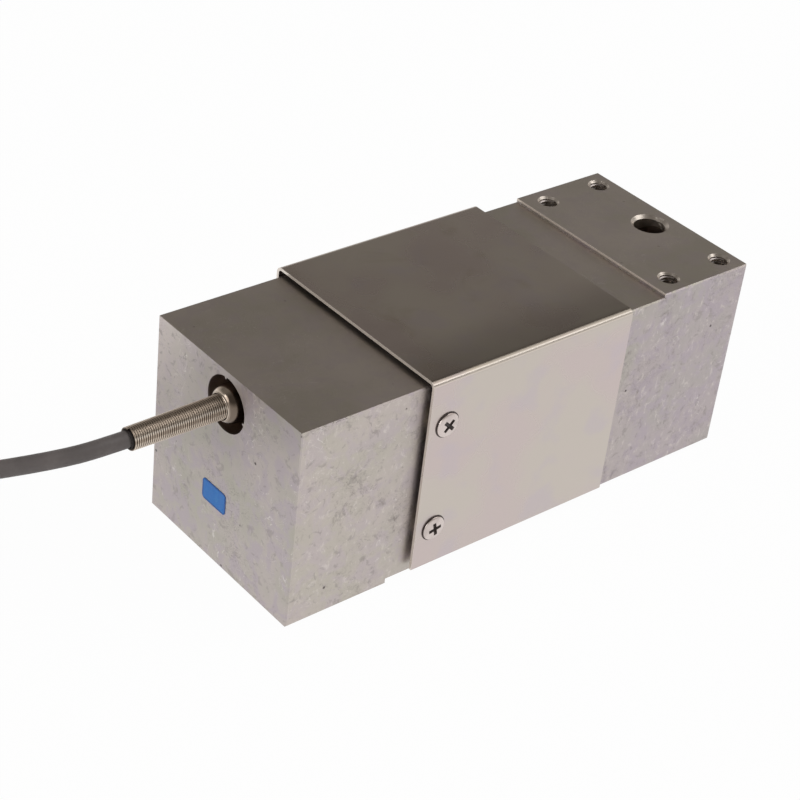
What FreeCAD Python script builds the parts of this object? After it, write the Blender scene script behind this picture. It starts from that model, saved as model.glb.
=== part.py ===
import FreeCAD, Part
import math
import os
import re

import Sketcher

# Single point load cell. A machined aluminium block carries the load from the tapped pad on top of
# its live end to the tapped pad under its fixed end. Two thin flexures above and two below a window
# through the middle bend under the load, and a strain gauge sits on each. A folded sheet cover closes
# the window, and a screened cable leaves the fixed end through a gland with a wound spring.
#
# Row frame: +X towards the live end, the cable leaves towards -X, +Z up. The origin is at mid-length
# and mid-width, in the plane of the fixed pad.

SIZES = [
    # block
    ("block_length", 152.4, "end face to end face"),
    ("block_width", 60.0, "side face to side face"),
    ("body_height", 57.4, "from the relieved underside to the relieved top"),
    ("fixed_pad_length", 32.0, "pad under the fixed end"),
    ("fixed_pad_height", 1.4, "how far that pad stands down"),
    ("live_pad_length", 31.8, "pad on top of the live end"),
    ("live_pad_height", 1.2, "how far that pad stands up"),
    ("edge_break", 0.35, "chamfer on the long edges"),
    # flexure window
    ("window_length", 48.0, "window along the block"),
    ("flexure_length", 14.0, "each thinned stretch"),
    ("flexure_thickness", 2.6, "metal left over and under the window's ends"),
    ("link_thickness", 9.0, "metal left over and under its middle"),
    ("flexure_fillet", 4.0, "inside corners of the thinned stretches"),
    # tapped holes for the platform and the base, M6
    ("tap_diameter", 5.0, "drilled size of the thread"),
    ("tap_mouth", 6.2, "countersink at the mouth"),
    ("tap_depth", 15.0, "drilled depth"),
    ("tap_pitch_along", 19.8, "hole to hole along the block"),
    ("tap_pitch_across", 48.0, "hole to hole across the block"),
    ("tap_end_inset", 5.1, "outer pair to the end face"),
    # plain bore in the live pad
    ("bore_diameter", 9.0, "plain bore"),
    ("bore_mouth", 10.8, "its countersink"),
    ("bore_depth", 20.0, "its depth"),
    ("bore_end_inset", 8.0, "its axis to the end face"),
    # cable entry
    ("cable_drop", 9.4, "cable axis below the relieved top"),
    ("entry_diameter", 15.4, "counterbore in the end face"),
    ("entry_depth", 9.0, "its depth"),
    ("passage_diameter", 4.0, "drilling for the cores, into the window"),
    ("stake_reach", 0.8, "how far a staked nub stands into the counterbore"),
    ("stake_width", 1.3, "its width at the rim"),
    ("stake_depth", 0.7, "its depth along the bore"),
    # cover
    ("cover_inset", 38.2, "fixed end face to the cover"),
    ("cover_length", 67.8, "cover along the block"),
    ("cover_sheet", 0.8, "sheet thickness"),
    ("cover_side_gap", 1.4, "sheet to the block's side"),
    ("cover_top_gap", 1.2, "sheet to the block's top"),
    ("cover_bend", 1.0, "inside radius of the folds"),
    ("cover_lift", 3.2, "skirt edge above the fixed pad"),
    # cover screws and spacers, M4
    ("screw_inset", 5.8, "screws to the cover's edge"),
    ("screw_low", 14.8, "lower screws above the fixed pad"),
    ("screw_pitch", 32.2, "lower to upper screw"),
    ("head_diameter", 6.9, "pan head"),
    ("head_height", 0.95, "its height"),
    ("head_bevel", 0.4, "its rounded edge"),
    ("recess_span", 3.7, "cross recess, tip to tip"),
    ("recess_width", 0.85, "width of its slots"),
    ("recess_depth", 0.65, "its depth"),
    ("shank_diameter", 3.2, "screw shank"),
    ("shank_length", 10.0, "under the head"),
    ("screw_hole_depth", 9.5, "drilled into the block"),
    ("sheet_hole", 4.5, "clearance hole in the cover"),
    ("spacer_diameter", 7.6, "washer between sheet and block"),
    ("thread_gap", 0.05, "radial clearance of screwed parts"),
    # gland
    ("washer_diameter", 13.0, "sealing washer"),
    ("washer_thickness", 0.6, "sealing washer"),
    ("hex_across", 12.0, "gland hexagon across flats"),
    ("hex_thickness", 2.6, "gland hexagon"),
    ("spigot_diameter", 8.9, "gland spigot in the block"),
    ("spigot_length", 7.5, "gland spigot"),
    ("neck_diameter", 8.2, "gland neck, inside the ferrule"),
    ("neck_length", 4.2, "gland neck"),
    ("ferrule_diameter", 10.2, "ferrule round the spring's foot"),
    ("ferrule_proud", 2.0, "how far it stands out of the end face"),
    ("ferrule_mouth", 7.0, "its opening"),
    ("ferrule_lip", 2.2, "its lip along the cable"),
    ("ferrule_bevel", 0.3, "its front edge"),
    ("grommet_diameter", 6.4, "rubber seal round the cable"),
    # cable and strain relief
    ("cable_diameter", 4.4, "over the jacket"),
    ("cable_gap", 0.05, "radial clearance round the jacket"),
    ("jacket_inside", 16.5, "jacket's end, in from the end face"),
    ("cord_start", 11.0, "where the free cable begins, out from the end face"),
    ("cord_straight", 36.0, "its first straight run"),
    ("core_diameter", 0.9, "insulated core"),
    ("core_circle", 1.1, "cores' centres from the cable axis"),
    ("spring_foot", 7.8, "over the spring's two foot turns"),
    ("spring_base", 6.6, "over the spring at the ferrule"),
    ("spring_tip", 6.05, "over the spring at its free end"),
    ("spring_reach", 28.0, "free end, out from the end face"),
    ("spring_wire", 0.6, "wire of the spring"),
    ("spring_pitch", 0.65, "turn to turn"),
    ("spring_groove", 0.22, "depth between turns"),
    ("sleeve_wall", 0.14, "shrunk sleeve under the spring's end"),
    ("sleeve_length", 10.0, "shrunk sleeve"),
    ("sleeve_overhang", 0.5, "how far it stands out of the spring"),
    # gauges and board
    ("gauge_length", 6.0, "strain gauge along the block"),
    ("gauge_width", 8.0, "strain gauge across the block"),
    ("gauge_thickness", 0.15, "strain gauge"),
    ("coat_margin", 1.5, "sealant round a gauge, across the block"),
    ("coat_thickness", 0.9, "sealant over a gauge"),
    ("board_width", 22.0, "terminal board across the block"),
    ("board_over", 3.6, "how far the terminal board reaches above the cable axis"),
    ("board_thickness", 1.0, "terminal board"),
    ("board_low", 20.0, "its lower edge above the fixed pad"),
    ("board_pad_gap", 3.4, "adhesive pad behind the board to the cores' drilling"),
    ("board_pad_thickness", 2.0, "adhesive pad behind the board"),
    ("ribbon_thickness", 0.3, "flexible strip that joins board and gauges"),
    ("ribbon_width", 3.0, "its width"),
    ("ribbon_landing", 4.0, "its end on the board, in from the board's edge"),
    # label on the fixed end
    ("label_width", 10.0, "blank label"),
    ("label_height", 6.4, "blank label"),
    ("label_thickness", 0.1, "blank label"),
    ("label_corner", 1.2, "its corners"),
    ("label_across", 2.55, "its centre, across the block"),
    ("label_up", 19.8, "its centre above the fixed pad"),
    # coil of the spare cable
    ("coil_radius", 25.9, "middle of the turns"),
    ("coil_columns", 2.0, "turns side by side"),
    ("coil_layers", 3.0, "turns on each other"),
    ("turn_pitch", 4.5, "turn to turn"),
    ("coil_lift", 0.9, "underside above the surface, by the tie"),
    ("tie_width", 4.0, "strap round the coil"),
    ("tie_thickness", 0.8, "strap round the coil"),
    # bare end of the cable
    ("end_sleeve_length", 5.5, "sleeve over the jacket's end, flush with it"),
    ("end_sleeve_wall", 0.35, "its wall"),
    ("lead_length", 16.0, "cores outside the jacket, along the cable"),
    ("lead_height", 1.2, "their ends above the fixed pad's plane"),
    ("tinned_diameter", 0.5, "tinned strands"),
    ("tinned_length", 4.0, "tinned strands"),
]

# The route of the free cable from its first bend down to the coil, point by point.
ROUTE = [
    (-153.3, 17.4, 40.1),
    (-167.2, 27.3, 18.1),
    (-173.2, 49.7, 12.15),
]
COIL_CENTRE = (-146.0, 57.0)

# From the coil's middle outer turn to the bare end.
TAIL = [
    (-146.0, 85.15, 7.65),
    (-133.0, 85.15, 4.2),
    (-121.5, 83.4, 3.1),
]

# The cores fan out from the jacket's end: name, place across the jacket, and across at its own end.
LEADS = [
    ("lead_red", -1.64, -8.0),
    ("lead_black", -0.69, -4.4),
    ("lead_white", 0.26, -0.8),
    ("lead_green", 1.21, 2.8),
    ("drain_wire", 1.94, 5.6),
]

STAKE_ANGLES = (84.0, 193.0, 318.0)
SCREW_TURNS = {"front_upper": 47.0, "front_lower": 12.0, "rear_upper": 30.0, "rear_lower": 65.0}

BODY_TOP = "(fixed_pad_height + body_height)"
CABLE_Z = f"({BODY_TOP} - cable_drop)"
FIXED_END = "(-block_length / 2)"
LIVE_END = "(block_length / 2)"
COVER_FACE = "(block_width / 2 + cover_side_gap + cover_sheet)"
COVER_START = f"({FIXED_END} + cover_inset)"
SCREW_X = f"({COVER_START} + screw_inset)"
SCREW_HEIGHTS = {"lower": "screw_low", "upper": "(screw_low + screw_pitch)"}
FLEXURE_X = "(window_length / 2 - flexure_length / 2)"

doc = FreeCAD.newDocument("load_cell")
sheet = doc.addObject("Spreadsheet::Sheet", "sizes")
for row, (alias, value, note) in enumerate(SIZES, start=1):
    sheet.set(f"A{row}", note)
    sheet.set(f"B{row}", str(value))
    sheet.setAlias(f"B{row}", alias)
doc.recompute()

ALIASES = {alias for alias, value, note in SIZES}
pieces = []


def size(alias):
    """One driving dimension, as the sheet holds it."""
    return float(sheet.get(alias))


def cable_height():
    """The cable's axis above the fixed pad, as CABLE_Z gives it."""
    return size("fixed_pad_height") + size("body_height") - size("cable_drop")


def bind(item, target, expression):
    """Ties a property or constraint to the sheet."""
    def name_in_sheet(match):
        word = match.group()
        return f"{sheet.Name}.{word}" if word in ALIASES else word

    item.setExpression(target, re.sub(r"[a-z_]+", name_in_sheet, expression))


def place(item, x="0", y="0", z="0"):
    """Ties where a piece stands to the sheet."""
    for axis, expression in (("x", x), ("y", y), ("z", z)):
        bind(item, f"Placement.Base.{axis}", expression)


# Sketches and features


def new_body(label):
    body = doc.addObject("PartDesign::Body", label)
    body.Label = label
    pieces.append(body)
    return body


def new_sketch(body, role, offset="0"):
    """A sketch on one of the body's own origin planes, moved along that plane's normal."""
    plane = next(f for f in body.Origin.OriginFeatures if f.Role == role)
    sketch = body.newObject("Sketcher::SketchObject", "sketch")
    sketch.AttachmentSupport = [(plane, "")]
    sketch.MapMode = "FlatFace"
    bind(sketch, "AttachmentOffset.Base.z", offset)
    return sketch


def fix_point(sketch, geometry, point, x, y):
    """Ties one point of the sketch to x and y from the sketch's origin."""
    for kind, expression in (("DistanceX", x), ("DistanceY", y)):
        number = sketch.addConstraint(Sketcher.Constraint(kind, -1, 1, geometry, point, 1.0))
        bind(sketch, f"Constraints[{number}]", expression)


def draw_outline(sketch, corners):
    """A closed outline of straight lines through corners, each an (x, y) pair of expressions."""
    first = sketch.GeometryCount
    count = len(corners)
    start = [
        FreeCAD.Vector(math.cos(math.tau * k / count), math.sin(math.tau * k / count), 0)
        for k in range(count)
    ]
    for k in range(count):
        sketch.addGeometry(Part.LineSegment(start[k], start[(k + 1) % count]), False)
    for k in range(count):
        following = first + (k + 1) % count
        sketch.addConstraint(Sketcher.Constraint("Coincident", first + k, 2, following, 1))
    for k, (x, y) in enumerate(corners):
        fix_point(sketch, first + k, 1, x, y)


def draw_box(sketch, left, right, low, high):
    draw_outline(sketch, [(left, low), (right, low), (right, high), (left, high)])


def draw_circle(sketch, x, y, diameter):
    circle = Part.Circle(FreeCAD.Vector(1, 1, 0), FreeCAD.Vector(0, 0, 1), 1.0)
    number = sketch.addGeometry(circle, False)
    fix_point(sketch, number, 3, x, y)
    radius = sketch.addConstraint(Sketcher.Constraint("Diameter", number, 2.0))
    bind(sketch, f"Constraints[{radius}]", diameter)


def pad(body, sketch, length, midplane=False, reverse=False):
    feature = body.newObject("PartDesign::Pad", "pad")
    feature.Profile = sketch
    feature.Midplane = midplane
    feature.Reversed = reverse
    bind(feature, "Length", length)
    doc.recompute()
    return feature


def pocket(body, sketch, depth, midplane=False, reverse=False):
    """Cuts to a depth. It has to take metal away."""
    before = body.Shape.Volume
    feature = body.newObject("PartDesign::Pocket", "pocket")
    feature.Profile = sketch
    feature.Midplane = midplane
    feature.Reversed = reverse
    bind(feature, "Length", depth)
    doc.recompute()
    if not body.Shape.Volume < before:
        raise RuntimeError(f"{body.Label}: a pocket cuts nothing")
    return feature


def drill(body, sketch, diameter, depth, mouth, reverse=False):
    """Blind holes with a drill point and a countersunk mouth at the sketch's circles."""
    doc.recompute()
    before = body.Shape.Volume
    feature = body.newObject("PartDesign::Hole", "hole")
    feature.Profile = sketch
    doc.recompute()
    feature.ThreadType = "None"
    feature.DepthType = "Dimension"
    feature.DrillPoint = "Angled"
    feature.DrillPointAngle = 118
    feature.HoleCutType = "Countersink"
    feature.HoleCutCustomValues = True
    feature.HoleCutCountersinkAngle = 90
    feature.Reversed = reverse
    bind(feature, "Diameter", diameter)
    bind(feature, "Depth", depth)
    bind(feature, "HoleCutDiameter", mouth)
    doc.recompute()
    if not body.Shape.Volume < before:
        raise RuntimeError(f"{body.Label}: a hole cuts nothing")
    return feature


def edges_where(feature, wanted):
    """The names of the edges for which wanted(edge, its box) is true."""
    names = [
        f"Edge{number}"
        for number, edge in enumerate(feature.Shape.Edges, start=1)
        if wanted(edge, edge.BoundBox)
    ]
    if not names:
        raise RuntimeError(f"{feature.Label}: no such edge")
    return names


def dress(body, kind, feature, names, amount, target):
    """A fillet or chamfer on those edges."""
    finished = body.newObject(f"PartDesign::{kind}", kind.lower())
    finished.Base = (feature, names)
    bind(finished, target, amount)
    doc.recompute()
    return finished


def turned(label, corners):
    """A turned piece on the cable's axis. Its outline gives distance out from the end face, radius."""
    body = new_body(label)
    sketch = new_sketch(body, "XZ_Plane")
    draw_outline(sketch, [(f"-({out})", radius) for out, radius in corners])
    revolution = body.newObject("PartDesign::Revolution", "revolution")
    revolution.Profile = sketch
    revolution.ReferenceAxis = (sketch, ["H_Axis"])
    revolution.Angle = 360
    place(body, FIXED_END, "0", CABLE_Z)
    doc.recompute()
    return body


def near(a, b):
    return abs(a - b) < 0.01


# The block


def block_outline(body):
    """Side view of the block: relieved under its length and over it, with a pad at each end."""
    sketch = new_sketch(body, "XZ_Plane")
    pad_end = f"{FIXED_END} + fixed_pad_length"
    pad_start = f"{LIVE_END} - live_pad_length"
    draw_outline(
        sketch,
        [
            (FIXED_END, "0"),
            (pad_end, "0"),
            (pad_end, "fixed_pad_height"),
            (LIVE_END, "fixed_pad_height"),
            (LIVE_END, f"{BODY_TOP} + live_pad_height"),
            (pad_start, f"{BODY_TOP} + live_pad_height"),
            (pad_start, BODY_TOP),
            (FIXED_END, BODY_TOP),
        ],
    )
    return pad(body, sketch, "block_width", midplane=True)


def break_long_edges(body, feature):
    side = size("block_width") / 2

    def outer(edge, box):
        return box.YLength < 0.01 and near(abs(box.YMin), side)

    dress(body, "Chamfer", feature, edges_where(feature, outer), "edge_break", "Size")


def cut_window(body):
    """An H-shaped window through the block: two tall slots leave the flexures, the middle the links."""
    sketch = new_sketch(body, "XZ_Plane")
    half = "window_length / 2"
    inner = f"({half} - flexure_length)"
    low = "(fixed_pad_height + flexure_thickness)"
    link_low = "(fixed_pad_height + link_thickness)"
    link_high = f"({BODY_TOP} - link_thickness)"
    high = f"({BODY_TOP} - flexure_thickness)"
    draw_outline(
        sketch,
        [
            (f"-{half}", low),
            (f"-{inner}", low),
            (f"-{inner}", link_low),
            (inner, link_low),
            (inner, low),
            (half, low),
            (half, high),
            (inner, high),
            (inner, link_high),
            (f"-{inner}", link_high),
            (f"-{inner}", high),
            (f"-{half}", high),
        ],
    )
    cut = pocket(body, sketch, "block_width * 2", midplane=True)
    low_edge = size("fixed_pad_height") + size("flexure_thickness")
    high_edge = size("fixed_pad_height") + size("body_height") - size("flexure_thickness")
    width = size("block_width")

    def slot_corner(edge, box):
        through = near(box.YLength, width) and box.XLength < 0.01 and box.ZLength < 0.01
        return through and (near(box.ZMin, low_edge) or near(box.ZMin, high_edge))

    names = edges_where(cut, slot_corner)
    return dress(body, "Fillet", cut, names, "flexure_fillet", "Radius")


def tap_holes(body):
    """Four tapped holes up into the live pad's top, and four like them under the fixed end."""
    across = "tap_pitch_across / 2"
    outer = "(block_length / 2 - tap_end_inset)"
    inner = "(block_length / 2 - tap_end_inset - tap_pitch_along)"
    top = new_sketch(body, "XY_Plane", f"{BODY_TOP} + live_pad_height")
    under = new_sketch(body, "XY_Plane")
    for sketch, end in ((top, ""), (under, "-")):
        for along in (outer, inner):
            for side in ("", "-"):
                draw_circle(sketch, end + along, f"{side}({across})", "tap_diameter")
    drill(body, top, "tap_diameter", "tap_depth", "tap_mouth")
    drill(body, under, "tap_diameter", "tap_depth", "tap_mouth", reverse=True)
    bore = new_sketch(body, "XY_Plane", f"{BODY_TOP} + live_pad_height")
    draw_circle(bore, f"{LIVE_END} - bore_end_inset", "0", "bore_diameter")
    drill(body, bore, "bore_diameter", "bore_depth", "bore_mouth")


def cut_cable_entry(body):
    """Counterbore for the gland, hole for its spigot, drilling for the cores, and three staked nubs."""
    steps = [
        ("entry_diameter", "entry_depth"),
        ("(spigot_diameter + 2 * thread_gap)", "(jacket_inside + 1)"),
        ("passage_diameter", f"(block_length / 2 - {FLEXURE_X})"),
    ]
    for diameter, depth in steps:
        sketch = new_sketch(body, "YZ_Plane", FIXED_END)
        draw_circle(sketch, "0", CABLE_Z, diameter)
        pocket(body, sketch, depth, reverse=True)
    sketch = new_sketch(body, "YZ_Plane", FIXED_END)
    for angle in STAKE_ANGLES:
        foot = "(entry_diameter / 2 + stake_depth / 2)"
        tip = "(entry_diameter / 2 - stake_reach)"
        cosine, sine = f"cos({angle} deg)", f"sin({angle} deg)"
        draw_outline(
            sketch,
            [
                (f"{tip} * {cosine}", f"{CABLE_Z} + {tip} * {sine}"),
                (
                    f"{foot} * {cosine} - stake_width / 2 * {sine}",
                    f"{CABLE_Z} + {foot} * {sine} + stake_width / 2 * {cosine}",
                ),
                (
                    f"{foot} * {cosine} + stake_width / 2 * {sine}",
                    f"{CABLE_Z} + {foot} * {sine} - stake_width / 2 * {cosine}",
                ),
            ],
        )
    pad(body, sketch, "stake_depth")


def drill_for_cover_screws(body):
    """Two blind holes in each side face for the cover's screws."""
    for plane_offset, reverse in (("block_width / 2", False), ("-block_width / 2", True)):
        sketch = new_sketch(body, "XZ_Plane", plane_offset)
        for height in SCREW_HEIGHTS.values():
            draw_circle(sketch, SCREW_X, height, "shank_diameter + 2 * thread_gap")
        pocket(body, sketch, "screw_hole_depth", reverse=reverse)


def sensing_block():
    body = new_body("sensing_block")
    break_long_edges(body, block_outline(body))
    cut_window(body)
    tap_holes(body)
    cut_cable_entry(body)
    drill_for_cover_screws(body)


# The cover and its fastenings


def cover():
    """One sheet folded into a channel, open below, that stands off the block all round."""
    body = new_body("cover")
    sketch = new_sketch(body, "YZ_Plane", COVER_START)
    outer = COVER_FACE
    inner = "(block_width / 2 + cover_side_gap)"
    under = f"({BODY_TOP} + cover_top_gap)"
    over = f"({BODY_TOP} + cover_top_gap + cover_sheet)"
    draw_outline(
        sketch,
        [
            (f"-{outer}", "cover_lift"),
            (f"-{inner}", "cover_lift"),
            (f"-{inner}", under),
            (inner, under),
            (inner, "cover_lift"),
            (outer, "cover_lift"),
            (outer, over),
            (f"-{outer}", over),
        ],
    )
    channel = pad(body, sketch, "cover_length")
    inside = size("fixed_pad_height") + size("body_height") + size("cover_top_gap")
    outside = inside + size("cover_sheet")
    half = size("block_width") / 2 + size("cover_side_gap")

    def inner_fold(edge, box):
        return box.ZLength < 0.01 and box.YLength < 0.01 and near(box.ZMin, inside)

    def outer_fold(edge, box):
        along = box.ZLength < 0.01 and box.YLength < 0.01
        return along and near(box.ZMin, outside) and abs(box.YMin) > half

    folded = dress(body, "Fillet", channel, edges_where(channel, inner_fold), "cover_bend", "Radius")
    names = edges_where(folded, outer_fold)
    dress(body, "Fillet", folded, names, "cover_bend + cover_sheet", "Radius")
    holes = new_sketch(body, "XZ_Plane")
    for height in SCREW_HEIGHTS.values():
        draw_circle(holes, SCREW_X, height, "sheet_hole")
    pocket(body, holes, "block_width * 2", midplane=True)


def side_placement(item, side, height, out):
    """Stands a turned piece, made along +Z, on the block's front (-Y) or rear (+Y) side."""
    sign = "-" if side == "front" else ""
    place(item, SCREW_X, f"{sign}{out}", SCREW_HEIGHTS[height])


def cover_screw(side, height):
    """Pan head screw with a cross recess. The underside of its head lies on the sheet."""
    body = new_body(f"cover_screw_{side}_{height}")
    sketch = new_sketch(body, "XZ_Plane")
    head = "head_diameter / 2"
    shank = "shank_diameter / 2"
    draw_outline(
        sketch,
        [
            ("0", "-shank_length"),
            (shank, "-shank_length"),
            (shank, "0"),
            (head, "0"),
            (head, "head_height - head_bevel"),
            (f"{head} - head_bevel", "head_height"),
            ("0", "head_height"),
        ],
    )
    revolution = body.newObject("PartDesign::Revolution", "revolution")
    revolution.Profile = sketch
    revolution.ReferenceAxis = (sketch, ["V_Axis"])
    revolution.Angle = 360
    doc.recompute()
    recess = new_sketch(body, "XY_Plane", "head_height")
    arm, slot = "recess_span / 2", "recess_width / 2"
    quarter = [(arm, slot), (slot, slot), (slot, arm)]
    corners = []
    for x_sign, y_sign, run in (("", "", 1), ("-", "", -1), ("-", "-", 1), ("", "-", -1)):
        corners += [(f"{x_sign}{x}", f"{y_sign}{y}") for x, y in quarter[::run]]
    draw_outline(recess, corners)
    pocket(body, recess, "recess_depth")
    tilt = 90 if side == "front" else -90
    lean = FreeCAD.Rotation(FreeCAD.Vector(1, 0, 0), tilt)
    spin = FreeCAD.Rotation(FreeCAD.Vector(0, 0, 1), SCREW_TURNS[f"{side}_{height}"])
    body.Placement = FreeCAD.Placement(FreeCAD.Vector(), lean.multiply(spin))
    side_placement(body, side, height, COVER_FACE)


def cover_spacer(side, height):
    """Washer that holds the sheet off the block."""
    label = f"cover_spacer_{side}_{height}"
    rim = doc.addObject("Part::Cylinder", "rim")
    hole = doc.addObject("Part::Cylinder", "hole")
    bind(rim, "Radius", "spacer_diameter / 2")
    bind(hole, "Radius", "sheet_hole / 2")
    for cylinder in (rim, hole):
        bind(cylinder, "Height", "cover_side_gap")
    washer = doc.addObject("Part::Cut", label)
    washer.Label = label
    washer.Base = rim
    washer.Tool = hole
    tilt = 90 if side == "front" else -90
    washer.Placement = FreeCAD.Placement(
        FreeCAD.Vector(), FreeCAD.Rotation(FreeCAD.Vector(1, 0, 0), tilt)
    )
    side_placement(washer, side, height, "(block_width / 2)")
    pieces.append(washer)


# The gland and strain relief, all turned about the cable's axis

WASHER_BACK = "-entry_depth"
HEX_BACK = "(-entry_depth + washer_thickness)"
HEX_FRONT = f"({HEX_BACK} + hex_thickness)"
NECK_FRONT = f"({HEX_FRONT} + neck_length)"
LIP_BACK = "(ferrule_proud - ferrule_lip)"
CABLE_BORE = "(cable_diameter / 2 + cable_gap)"


def gland_washer():
    bore = "(spigot_diameter / 2 + thread_gap)"
    rim = "washer_diameter / 2"
    turned(
        "gland_washer",
        [(WASHER_BACK, bore), (HEX_BACK, bore), (HEX_BACK, rim), (WASHER_BACK, rim)],
    )


def gland_body():
    """Spigot, hexagon and neck in one piece, bored for the cable and its seal."""
    spigot_end = f"({HEX_BACK} - spigot_length)"
    seat = "(grommet_diameter / 2 + cable_gap)"
    spigot, neck = "spigot_diameter / 2", "neck_diameter / 2"
    body = turned(
        "gland_body",
        [
            (spigot_end, CABLE_BORE),
            (HEX_FRONT, CABLE_BORE),
            (HEX_FRONT, seat),
            (NECK_FRONT, seat),
            (NECK_FRONT, neck),
            (HEX_BACK, neck),
            (HEX_BACK, spigot),
            (spigot_end, spigot),
        ],
    )
    sketch = new_sketch(body, "YZ_Plane", f"-{HEX_FRONT}")
    point = "hex_across / 2 / cos(30 deg)"
    corners = [(f"{point} * cos({60 * k} deg)", f"{point} * sin({60 * k} deg)") for k in range(6)]
    draw_outline(sketch, corners)
    draw_circle(sketch, "0", "0", f"2 * {CABLE_BORE}")
    pad(body, sketch, "hex_thickness")


def gland_grommet():
    rim = "grommet_diameter / 2"
    turned(
        "gland_grommet",
        [(HEX_FRONT, CABLE_BORE), (NECK_FRONT, CABLE_BORE), (NECK_FRONT, rim), (HEX_FRONT, rim)],
    )


def gland_ferrule():
    """Ring screwed on the gland's neck, with a lip that traps the spring's foot."""
    back = f"({HEX_FRONT} + thread_gap)"
    thread = "(neck_diameter / 2 + thread_gap)"
    mouth, rim = "ferrule_mouth / 2", "ferrule_diameter / 2"
    turned(
        "gland_ferrule",
        [
            (back, thread),
            (LIP_BACK, thread),
            (LIP_BACK, mouth),
            ("ferrule_proud", mouth),
            ("ferrule_proud", f"{rim} - ferrule_bevel"),
            ("ferrule_proud - ferrule_bevel", rim),
            (back, rim),
        ],
    )


def on_cable_axis(shape, label, x=0.0):
    """A finished shape as a piece of its own, standing at x on the cable's axis."""
    piece = doc.addObject("Part::Feature", label)
    piece.Label = label
    piece.Shape = shape
    piece.Placement = FreeCAD.Placement(
        FreeCAD.Vector(x, 0, cable_height()), FreeCAD.Rotation()
    )
    pieces.append(piece)
    return piece


def revolved(points):
    """Points as (distance along -X, radius), closed and turned about X."""
    corners = [FreeCAD.Vector(-out, 0, radius) for out, radius in points]
    face = Part.Face(Part.makePolygon(corners + corners[:1]))
    return face.revolve(FreeCAD.Vector(0, 0, 0), FreeCAD.Vector(1, 0, 0), 360)


def relief_spring():
    """Close-wound spring as one tapered sleeve with a ridge for each turn.

    Two wider foot turns lie behind the ferrule's lip. From there the turns narrow to the free end.
    """
    groove = size("spring_groove")
    base, tip = size("spring_base") / 2, size("spring_tip") / 2
    foot_end = size("ferrule_proud") - size("ferrule_lip") - size("cable_gap")
    foot_start = foot_end - 2 * size("spring_pitch")
    reach = size("spring_reach")
    turns = round((reach - foot_end) / size("spring_pitch"))

    def ridges(start, end, count, from_radius, to_radius):
        points = []
        for turn in range(count):
            crest = from_radius + (turn + 0.5) / count * (to_radius - from_radius)
            points.append((start + turn / count * (end - start), crest - groove))
            points.append((start + (turn + 0.5) / count * (end - start), crest))
        return points + [(end, to_radius - groove)]

    foot = size("spring_foot") / 2
    outline = ridges(foot_start, foot_end, 2, foot, foot) + ridges(foot_end, reach, turns, base, tip)
    outline += [(reach, tip - size("spring_wire")), (foot_start, base - size("spring_wire"))]
    on_cable_axis(revolved(outline), "relief_spring", -size("block_length") / 2)


def spring_sleeve():
    end = "(spring_reach + sleeve_overhang)"
    start = f"({end} - sleeve_length)"
    rim = f"({CABLE_BORE} + sleeve_wall)"
    turned("spring_sleeve", [(start, CABLE_BORE), (end, CABLE_BORE), (end, rim), (start, rim)])


def cable_in_gland():
    """The clamped end of the cable, from its stripped end in the spigot to inside the spring."""
    cylinder = doc.addObject("Part::Cylinder", "cable_in_gland")
    cylinder.Label = "cable_in_gland"
    bind(cylinder, "Radius", "cable_diameter / 2")
    bind(cylinder, "Height", "jacket_inside + cord_start")
    along = FreeCAD.Rotation(FreeCAD.Vector(0, 1, 0), 90)
    cylinder.Placement = FreeCAD.Placement(FreeCAD.Vector(), along)
    place(cylinder, f"{FIXED_END} - cord_start", "0", CABLE_Z)
    pieces.append(cylinder)


# Cords


def routed_wire(points):
    """Straight runs through points, joined by tangent arcs.

    Each arc's radius is 0.45 of its shorter run over the tangent of half the turn. Returns the wire,
    its length and the radii.
    """
    corners = [FreeCAD.Vector(*point) for point in points]
    edges = []
    radii = []
    start = corners[0]
    for before, corner, after in zip(corners, corners[1:], corners[2:]):
        back, ahead = before - corner, after - corner
        half_turn = (math.pi - back.getAngle(ahead)) / 2
        cut = 0.45 * min(back.Length, ahead.Length)
        radius = cut / math.tan(half_turn)
        back.normalize()
        ahead.normalize()
        arrive, leave = corner + back * cut, corner + ahead * cut
        bisector = (back + ahead).normalize()
        centre = corner + bisector * (radius / math.cos(half_turn))
        middle = centre - bisector * radius
        edges.append(Part.LineSegment(start, arrive).toShape())
        edges.append(Part.Arc(arrive, middle, leave).toShape())
        radii.append(radius)
        start = leave
    edges.append(Part.LineSegment(start, corners[-1]).toShape())
    wire = Part.Wire(edges)
    return wire, wire.Length, radii


def tube(points, diameter):
    """A round tube along the route: a cylinder for each run and a bend for each arc.

    Its volume is compared with section times length.
    """
    wire, length, radii = routed_wire(points)
    start, ahead = FreeCAD.Vector(*points[0]), FreeCAD.Vector(*points[1])
    disc = Part.Face(Part.Wire(Part.makeCircle(diameter / 2, start, ahead - start)))
    stretches = []
    for edge in wire.OrderedEdges:
        if isinstance(edge.Curve, Part.Circle):
            centre, axis = edge.Curve.Center, edge.Curve.Axis
            turn = math.degrees(edge.Length / edge.Curve.Radius)
            stretches.append(disc.revolve(centre, axis, turn))
            disc = disc.rotated(centre, axis, turn)
        else:
            run = edge.lastVertex().Point - edge.firstVertex().Point
            stretches.append(disc.extrude(run))
            disc = disc.translated(run)
    solid = stretches[0].multiFuse(stretches[1:]).removeSplitter().Solids[0]
    section = math.pi * diameter**2 / 4
    if abs(solid.Volume / (section * length) - 1) > 0.01:
        raise RuntimeError("a tube's volume isn't its section times its length")
    return solid, length, radii


def add_piece(shape, label):
    piece = doc.addObject("Part::Feature", label)
    piece.Label = label
    piece.Shape = shape
    pieces.append(piece)


def coil_box():
    """Half width and height of the coil's bundle of turns."""
    return size("coil_columns") * size("turn_pitch") / 2, size("coil_layers") * size("turn_pitch")


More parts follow.
